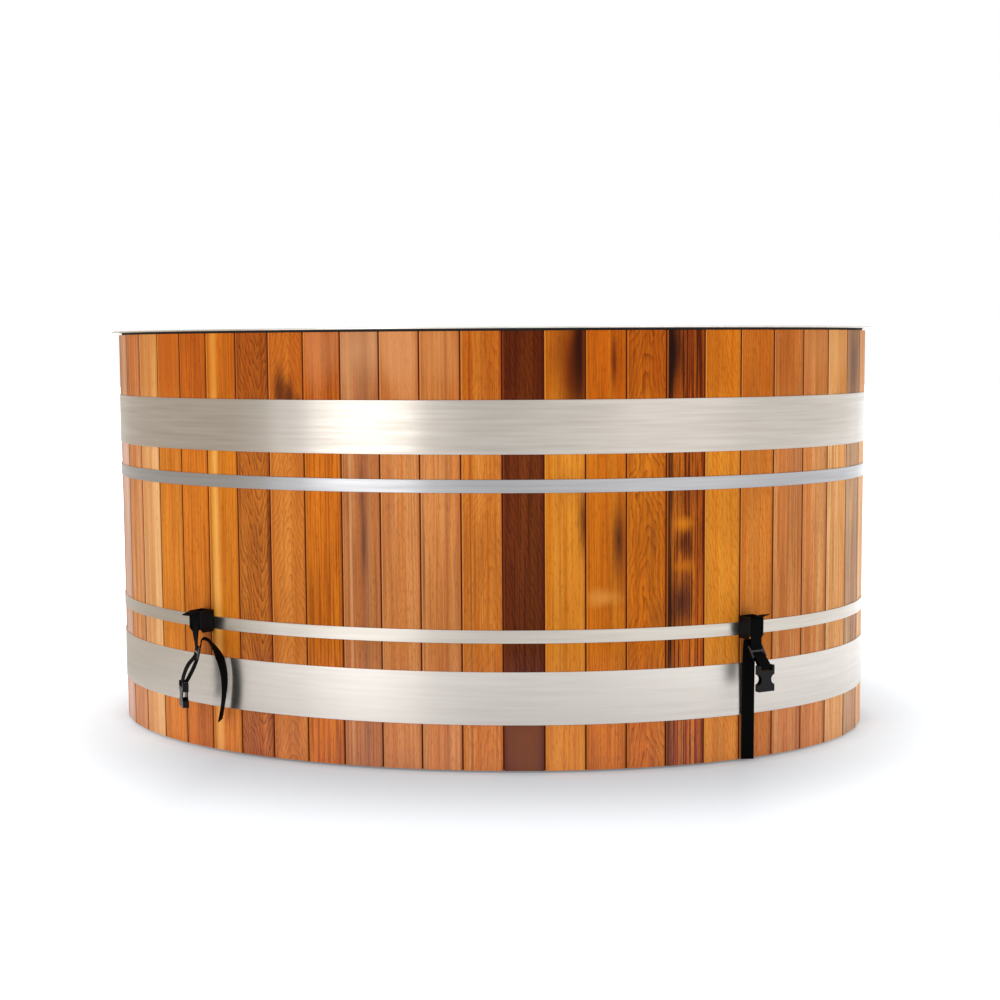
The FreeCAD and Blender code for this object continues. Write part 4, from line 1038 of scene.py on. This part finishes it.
@dataclass
class StaveWall(Assembly):
    """Wall of upright cedar staves in eight groups."""

    foot: float = 0.004
    length: float = 0.8275
    thickness: float = 0.019
    gap: float = 0.0003
    easing: float = 0.002
    end_easing: float = 0.001
    easing_steps: int = 4
    sharp: float = 8.0
    seed: int = 11
    groups: tuple[str, ...] = (
        "front", "front_right", "right", "back_right", "back", "back_left", "left", "front_left",
    )

    def build(self) -> None:
        """Builds the eight groups."""
        boards = self.boards()
        share = self.oval.count / len(self.groups)
        for number, label in enumerate(self.groups):
            first, last = (math.ceil((number + side) * share) for side in (-0.5, 0.5))
            mesh = bmesh.new()
            for slot, index in enumerate(range(first, last), 1):
                self.stave(mesh, index, slot)
            finishes = [CEDAR_SIDE] + [boards[index % self.oval.count] for index in range(first, last)]
            node = f"staves_{label}"
            self.add(mesh, f"cedar_{node}", finishes, "cedar", nodes=[node], sharp=self.sharp)

    def boards(self) -> list[CedarBoard]:
        """Boards of the wall: the facing ones in their places, the others dealt between them.

        Returns:
            One board for each stave, numbered rightwards from the front middle.
        """
        others = [
            CedarBoard(f"red_cedar_planed_{label}", *row)
            for label, copies, *row in OTHER_ROWS
            for _ in range(copies)
        ]
        random.Random(self.seed).shuffle(others)
        facing = {}
        for place, row in enumerate(FACING_ROWS):
            board = CedarBoard(f"red_cedar_planed_stave_{place + 1:02d}", *row)
            facing[(FIRST_FACING + place) % self.oval.count] = board
        return [facing.get(index) or others.pop() for index in range(self.oval.count)]

    def stave(self, mesh: Mesh, index: int, slot: int) -> None:
        """Adds one stave with rounded long edges and eased ends.

        Args:
            mesh: Mesh of the group.
            index: Number of the stave.
            slot: Finish number of its face.
        """
        facet = self.oval.facet(index)
        outline = self.section(index)
        middle = sum(outline, Vector()) / len(outline)
        number = index % self.oval.count
        top = self.foot + self.length
        levels = (
            (self.foot, self.end_easing),
            (self.foot + self.end_easing, 0.0),
            (top - self.end_easing, 0.0),
            (top, self.end_easing),
        )
        sections, marks = [], []
        for height, inset in levels:
            points = [point + (middle - point).normalized() * inset + UP * height for point in outline]
            sections.append(points)
            marks.append([(number + facet.along.dot(p - facet.middle), height) for p in points])
        # The outer half of each rounded edge lies in the joint's dark
        half = self.easing_steps // 2
        face = range(half, self.easing_steps + 1 + half)
        slots = [slot if here in face else 0 for here in range(len(outline))]
        loft(mesh, sections, slots=slots, map_name=GRAIN_MAP, marks=marks)

    def section(self, index: int) -> list[Vector]:
        """Outline of a stave at floor level.

        Args:
            index: Number of the stave.

        Returns:
            Points from the left side's edge over the face to the right side's and round the back.
        """
        along = self.oval.facet(index).along
        gap, ease = along * (self.gap / 2), along * self.easing
        depths = (0.0, self.easing, self.thickness)
        left, left_deep, left_back = (self.oval.corner(index, depth) + gap for depth in depths)
        right, right_deep, right_back = (self.oval.corner(index + 1, depth) - gap for depth in depths)
        left_edge = bent(left_deep, left, left + ease, self.easing_steps)
        return left_edge + bent(right - ease, right, right_deep, self.easing_steps) + [right_back, left_back]


# Hoops


@dataclass(frozen=True)
class HoopSize:
    """One hoop: the solid that it stands for, its lowest height, its own height and its steel."""

    node: str
    floor: float
    height: float
    steel: BrushedSteel


@dataclass
class Hoops(Assembly):
    """Four steel hoops, each closed by two turned-out lugs at the back, with their bolts and nuts."""

    thickness: float = 0.002
    edge: float = 0.0007
    bend: float = 0.030
    bend_steps: int = 4
    lug_facet: int = 22
    lug_along: float = 0.010
    lug_reach: float = 0.022
    lug_bend: float = 0.004
    fastener_edge: float = 0.5
    sizes: tuple[HoopSize, ...] = (
        HoopSize("lower_wide_hoop", 0.0916, 0.1015, PAINTED_BRIGHT_HOOP_STEEL),
        HoopSize("lower_thin_hoop", 0.2475, 0.025, PAINTED_WARM_HOOP_STEEL),
        HoopSize("upper_thin_hoop", 0.5308, 0.025, PAINTED_COOL_HOOP_STEEL),
        HoopSize("upper_wide_hoop", 0.6025, 0.1015, HOOP_STEEL),
    )

    def build(self) -> None:
        """Builds the hoops and rounds their fasteners."""
        path = self.path()
        half = self.thickness / 2
        for hoop in self.sizes:
            mesh = bmesh.new()
            outline = rounded_outline((-half, hoop.floor), (half, hoop.floor + hoop.height), self.edge)
            sections = []
            for point, run in zip(path, headings(path)):
                out = Vector((run.y, -run.x, 0.0))
                sections.append([point + out * x + UP * z for x, z in outline])
            loft(mesh, sections)
            self.add(mesh, f"brushed_{hoop.node}", [hoop.steel], "hoop_steel", nodes=[hoop.node])
        for node in ("hoop_bolts", "hoop_nuts"):
            self.ease(node, FASTENER_STEEL, "fastener_steel", self.fastener_edge)

    def path(self) -> list[Vector]:
        """Line of the strip's middle from one lug's tip round the tub to the other's.

        Returns:
            Points at floor level.
        """
        half = self.thickness / 2
        closing = self.oval.facet(self.lug_facet)
        lugs = []
        for side in (1, -1):
            along, turn = side * self.lug_along, side * (self.lug_along + self.lug_bend)
            outs = (self.lug_reach, self.lug_reach / 2, half + self.lug_bend, half)
            tip, shank, start, corner = (closing.spot(along, out) for out in outs)
            lugs.append([tip, shank] + bent(start, corner, closing.spot(turn, half), self.bend_steps))
        path = lugs[0]
        for index in range(self.lug_facet, self.lug_facet + self.oval.count):
            corner = self.oval.corner(index + 1, -half)
            before, after = (self.oval.facet(place).along * self.bend for place in (index, index + 1))
            path += bent(corner - before, corner, corner + after, self.bend_steps)
        return path + lugs[1][::-1]


# Liner and rim


@dataclass
class Liner(Assembly):
    """Steel liner with its turned-out rim and the seal under it."""

    rim_out: float = 0.013
    rim_in: float = -0.067
    rim_floor: float = 0.836
    rim_top: float = 0.839
    rim_edge: float = 0.0012
    steps: int = 288

    def build(self) -> None:
        """Builds the rim and dresses the liner."""
        mesh = bmesh.new()
        outline = rounded_outline((self.rim_in, self.rim_floor), (self.rim_out, self.rim_top), self.rim_edge)
        turns = [2 * math.pi * step / self.steps for step in range(self.steps)]
        sections = [[self.oval.point(turn, out) + UP * z for out, z in outline] for turn in turns]
        loft(mesh, sections, ring=True)
        self.add(mesh, "brushed_rim_flange", [RIM_STEEL], "liner_steel", nodes=["rim_flange"])
        self.dress("liner_wall", LINER_STEEL)
        self.dress("liner_floor", LINER_FLOOR_STEEL)
        self.dress("rim_gasket", RUBBER)


# Cover straps


class Side(Enum):
    """Side of the tub that a strap hangs on."""

    LEFT = "left"
    RIGHT = "right"


@dataclass(frozen=True)
class RoutePoint:
    """Control point of a strap's line.

    The turn and the run, in degrees and millimetres, lead from the hanging strand; the height is over the
    floor, and across is the turn of the webbing's width.
    """

    turn: float
    run: float
    height: float
    across: float = 0.0


Route = tuple[RoutePoint, ...]


def turned(turn: float, *spots: Point) -> Route:
    """Control points that share a turn."""
    return tuple(RoutePoint(turn, *spot) for spot in spots)


@dataclass(frozen=True)
class StrapSize:
    """Where a strap hangs and the line that its webbing takes."""

    facet: int
    along: float
    length: float
    route: Route
    flap: Route


# Both straps start with a fold round the bracket's bar
FOLD = turned(-90, (-8.2, 272.8), (-8.2, 285.1), (0, 285.1), (0, 272.8))
STRAPS = {
    Side.RIGHT: StrapSize(
        facet=8,
        along=-0.025,
        length=0.43,
        route=FOLD
        + turned(-90, (0, 232), (1.8, 219.4), (12.9, 213.6), (35.2, 193.5), (28.0, 187.2), (10.5, 209.0))
        + turned(90, (6, 229), (14.6, 241), (25.3, 238, -20), (25.3, 5, -28)),
        flap=turned(-90, (-4.1, 285.1), (7.9, 286.5), (24.9, 294.0)),
    ),
    Side.LEFT: StrapSize(
        facet=-7,
        along=0.032,
        length=0.455,
        route=FOLD
        + turned(-119, (0, 216, -29), (-4.2, 203.4, -29), (3.3, 193.4, -29), (19.4, 177.3, -29))
        + turned(-119, (30.7, 142.2, -29), (24.1, 139.2, -29), (5.8, 171.1, -29), (-2.7, 192.1, -29))
        + turned(17, (11.5, 217.8, -40), (14.5, 232, -40), (34, 228, -46), (55, 198, -80))
        + turned(17, (65, 160, -72), (62, 112, -60), (52, 70, -60)),
        flap=turned(-90, (-4.1, 285.1), (7.9, 285.3), (22.9, 280.0)),
    ),
}


@dataclass
class Strap(Assembly):
    """Cover strap: its bracket, webbing, three-bar slider and buckle half."""

    side: Side = Side.LEFT
    hang: float = 0.0351
    width: float = 0.025
    thickness: float = 0.0016
    edge_share: float = 0.9
    slider_edge: float = 0.7
    hard_edge: float = 1.0
    sharp: float = 13.0
    samples: int = 24

    def build(self) -> None:
        """Builds the hard pieces, then the webbing that holds them."""
        size, name = STRAPS[self.side], self.side.value
        slider = self.ease(f"{name}_strap_slider", SLIDER_ACETAL, "black_plastic", self.slider_edge)
        buckle = self.ease(f"{name}_strap_buckle", ACETAL, "black_plastic", self.hard_edge)
        self.ease(f"{name}_strap_bracket", POWDER_COAT, "black_steel", self.hard_edge)
        flap, _ = self.ribbon(f"{name}_strap_flap", size.flap, [])
        nodes = [f"{name}_strap_{part}" for part in ("leg", "loop", "tail")]
        webbing, line = self.ribbon(f"{name}_strap_webbing", size.route, nodes)

    def spot(self, point: RoutePoint) -> Vector:
        """Place of a control point in the tub's frame.

        Args:
            point: The control point.

        Returns:
            The place in metres.
        """
        size, turn = STRAPS[self.side], math.radians(point.turn)
        along = size.along + point.run * MM * math.cos(turn)
        out = self.hang - point.run * MM * math.sin(turn)
        return self.oval.facet(size.facet).spot(along, out, point.height * MM)

    def line(self, name: str, route: Route) -> list[Vector]:
        """Smooth line through a route.

        Args:
            name: Name of the piece that follows the line.
            route: Control points.

        Returns:
            Points read from the route's spline.
        """
        curve = bpy.data.curves.new(f"{name}_line", "CURVE")
        curve.dimensions = "3D"
        spline = curve.splines.new("NURBS")
        spline.points.add(len(route) - 1)
        for knot, point in zip(spline.points, route):
            knot.co = (*self.spot(point), 1.0)
        spline.order_u = 3
        spline.use_endpoint_u = True
        spline.resolution_u = self.samples
        holder = bpy.data.objects.new(f"{name}_line", curve)
        bpy.context.scene.collection.objects.link(holder)
        bpy.context.view_layer.update()
        read = bpy.data.meshes.new_from_object(holder)
        points = [vertex.co.copy() for vertex in read.vertices]
        bpy.data.objects.remove(holder)
        bpy.data.curves.remove(curve)
        bpy.data.meshes.remove(read)
        return points

    def ribbon(
        self, name: str, route: Route, nodes: Sequence[str]
    ) -> tuple[bpy.types.Object, list[Vector]]:
        """Webbing along a route.

        Args:
            name: Name of the piece.
            route: Control points.
            nodes: Solids that the webbing stands for.

        Returns:
            The piece and the points that it follows.
        """
        line = self.line(name, route)
        last = len(line) - 1
        half, flat = self.width / 2, self.thickness / 2
        outline = rounded_outline((-half, -flat), (half, flat), flat * self.edge_share)
        facet = self.oval.facet(STRAPS[self.side].facet)
        sections, marks, run = [], [], 0.0
        for number, (point, ahead) in enumerate(zip(line, headings(line))):
            turn = math.radians(self.across(number / last, route))
            wide = facet.along * math.cos(turn) - facet.normal * math.sin(turn)
            wide = (wide - ahead * wide.dot(ahead)).normalized()
            thick = ahead.cross(wide)
            sections.append([point + wide * x + thick * y for x, y in outline])
            marks.append([(run, x) for x, _ in outline])
            run += (line[min(number + 1, last)] - point).length
        mesh = bmesh.new()
        loft(mesh, sections, map_name=WEAVE_MAP, marks=marks)
        body = f"{self.side.value}_strap"
        piece = self.add(mesh, name, [STRAP_WEBBING], "black_webbing", body, nodes, self.sharp)
        LOG.info("%s is %.3f m long", name, run)
        return piece, line

    def across(self, share: float, route: Route) -> float:
        """Turn of the webbing's width at a share of the line.

        Args:
            share: From zero at the start to one at the end.
            route: Control points.

        Returns:
            The turn in degrees.
        """
        last = len(route) - 1
        place = min(max(share * (last - 1) + 0.5, 0.0), float(last))
        here = min(int(place), last - 1)
        start, end = route[here].across, route[here + 1].across
        return start + (end - start) * (place - here)


# Base and fittings


@dataclass
class Fittings(Assembly):
    """Base, insulation, drain and water ports, whose solids already have their shape."""

    plain: tuple[tuple[Finish, tuple[str, ...]], ...] = (
        (BIRCH_PLY, ("frame_ring_bottom", "frame_ring_middle", "frame_ring_top")),
        (FOAM, ("wall_insulation", "floor_insulation")),
        (BIRCH_PLY, ("base_deck", "base_bearers")),
        (RUNNER_HDPE, ("base_runners",)),
        (RUBBER, ("drain_gasket", "port_gaskets")),
        (PORT_ABS, ("drain_nut", "return_eyeball")),
        (PIPE_PVC, ("drain_elbow", "drain_pipe")),
        (CHROME, ("valve_ball",)),
    )
    eased: tuple[tuple[str, Finish, str, float], ...] = (
        ("drain_fitting", PORT_ABS, "port_plastic", 0.8),
        ("drain_grate", LINER_FLOOR_STEEL, "liner_steel", 0.4),
        ("valve_body", BRASS, "valve_brass", 0.8),
        ("valve_stem", CHROME, "valve_chrome", 0.4),
        ("valve_lever", LEVER_VINYL, "lever_red", 0.8),
        ("valve_lever_nut", FASTENER_STEEL, "fastener_steel", 0.5),
        ("port_nuts", PORT_ABS, "port_plastic", 0.8),
        ("suction_fitting", PORT_ABS, "port_plastic", 0.8),
        ("suction_grate", PORT_ABS, "port_plastic", 0.5),
        ("return_fitting", PORT_ABS, "port_plastic", 0.8),
        ("return_retainer", PORT_ABS, "port_plastic", 0.8),
        ("bracket_screws", POWDER_COAT, "black_steel", 0.4),
    )

    def build(self) -> None:
        """Dresses the plain solids and rounds the ones that show their edges."""
        for finish, nodes in self.plain:
            for node in nodes:
                self.dress(node, finish)
        for piece in self.eased:
            self.ease(*piece)


# Studio


@dataclass(frozen=True)
class Softbox:
    """Rectangular lamp: where it stands, where it points, its size and its power in watts."""

    name: str
    place: Triple
    aim: Triple
    size: Mark
    power: float


@dataclass(frozen=True)
class Scrim:
    """Sheet of lit cloth that only the steel sees: its colour and its corners in order."""

    name: str
    colour: str
    corners: tuple[Triple, ...]


@dataclass
class Studio:
    """White sweep, soft lamps and the camera of the photograph."""

    floor_size: float = 60.0
    ambient: float = 0.41
    camera_place: Triple = (0.5666, -3.6163, 0.803)
    heading: Mark = (-0.147, 0.989)
    pitch: float = 5.262
    roll: float = 0.346
    lens: float = 60.09
    sensor: float = 36.0
    view_depth: float = 200.0
    scrims: tuple[Scrim, ...] = (
        Scrim(
            "studio_scrim",
            "#f5eee4",
            ((-2.5, -2.2, 0.02), (-1.6, 1.7, 0.02), (-1.6, 1.7, 2.0), (-2.5, -2.2, 2.0)),
        ),
        Scrim(
            "studio_scrim_foot",
            "#d8d2c9",
            ((-2.4, -1.5, 0.02), (-1.0, -1.0, 0.02), (-0.95, 1.0, 0.02), (-1.7, 1.6, 0.02)),
        ),
    )
    softboxes: tuple[Softbox, ...] = (
        Softbox("front_left_softbox", (-1.47, -3.1, 1.05), (0.0, 0.0, 0.6), (1.35, 1.8), 21.0),
        Softbox("front_right_softbox", (2.6, -2.6, 1.9), (0.2, 0.0, 0.4), (2.2, 2.2), 14.0),
        Softbox("right_softbox", (2.7, 1.3, 1.25), (0.6, 0.2, 0.5), (2.4, 1.4), 1.6),
        Softbox("top_softbox", (0.0, 0.2, 3.6), (0.0, 0.0, 0.0), (3.2, 2.6), 22.0),
    )

    def build(self) -> None:
        """Sets up the floor, the lamps, the sky and the camera."""
        scene = bpy.context.scene
        scene.view_settings.view_transform = "Standard"
        half = self.floor_size / 2
        corners = [(-half, -half, 0.0), (half, -half, 0.0), (half, half, 0.0), (-half, half, 0.0)]
        self.sheet("studio_floor", corners, StudioFloor("paper_sweep_matt_white"))
        for scrim in self.scrims:
            cloth = StudioScrim(f"{scrim.name}_cloth", scrim.colour)
            sheet = self.sheet(scrim.name, scrim.corners, cloth)
            sheet.visible_camera = sheet.visible_diffuse = sheet.visible_shadow = False
        self.sky(scene)
        for box in self.softboxes:
            self.lamp(box)
        self.camera(scene)

    def sheet(self, name: str, corners: Sequence[Point], finish: Finish) -> bpy.types.Object:
        """Sets up one flat sheet of the studio.

        Args:
            name: Name of the sheet.
            corners: Its corners in order.
            finish: Its surface.

        Returns:
            The sheet.
        """
        mesh = bmesh.new()
        mesh.faces.new([mesh.verts.new(corner) for corner in corners])
        data = bpy.data.meshes.new(name)
        mesh.to_mesh(data)
        mesh.free()
        data.materials.append(finish.material())
        sheet = bpy.data.objects.new(name, data)
        bpy.context.scene.collection.objects.link(sheet)
        return sheet

    def sky(self, scene: bpy.types.Scene) -> None:
        """Lights the scene evenly and shows white behind it.

        Args:
            scene: Scene whose world is made.
        """
        world = bpy.data.worlds.new("studio_white")
        world.use_nodes = True
        tree = world.node_tree
        tree.nodes.clear()
        path = add_node(tree, "ShaderNodeLightPath")
        seen = reckon(tree, "MAXIMUM", path["Is Camera Ray"], path["Is Glossy Ray"])
        seen = reckon(tree, "MAXIMUM", seen, path["Is Transmission Ray"])
        inputs = {"Color": linear("#ffffff"), "Strength": ranged(tree, seen, low=self.ambient)}
        light = add_node(tree, "ShaderNodeBackground", inputs=inputs)[0]
        add_node(tree, "ShaderNodeOutputWorld", inputs={"Surface": light})
        scene.world = world

    def lamp(self, box: Softbox) -> None:
        """Hangs one softbox.

        Args:
            box: The lamp's sizes.
        """
        data = bpy.data.lights.new(box.name, "AREA")
        data.shape = "RECTANGLE"
        data.size, data.size_y = box.size
        data.energy = box.power
        lamp = bpy.data.objects.new(box.name, data)
        lamp.location = box.place
        aim = Vector(box.aim) - Vector(box.place)
        lamp.rotation_euler = aim.to_track_quat("-Z", "Y").to_euler()
        bpy.context.scene.collection.objects.link(lamp)

    def camera(self, scene: bpy.types.Scene) -> None:
        """Stands the camera where the photograph was taken.

        Args:
            scene: Scene that takes the camera.
        """
        data = bpy.data.cameras.new("photo_camera")
        data.sensor_width = self.sensor
        data.lens = self.lens
        data.clip_end = self.view_depth
        pitch, roll = math.radians(self.pitch), math.radians(self.roll)
        level = Vector((*self.heading, 0.0)).normalized()
        ahead = level * math.cos(pitch) - UP * math.sin(pitch)
        right = ahead.cross(UP).normalized()
        over = right.cross(ahead)
        right, over = (
            right * math.cos(roll) - over * math.sin(roll),
            over * math.cos(roll) + right * math.sin(roll),
        )
        turn = Matrix((right, over, -ahead)).transposed().to_4x4()
        camera = bpy.data.objects.new("photo_camera", data)
        camera.matrix_world = Matrix.Translation(self.camera_place) @ turn
        scene.collection.objects.link(camera)
        scene.camera = camera


def main() -> None:
    """Builds the tub's looks and the studio round it."""
    logging.basicConfig(level=logging.INFO, format="%(message)s")
    oval = Oval()
    Studio().build()
    for side in Side:
        Strap(oval, side=side).build()
    StaveWall(oval).build()
    Hoops(oval).build()
    Liner(oval).build()
    Fittings(oval).build()


if __name__ == "__main__":
    main()
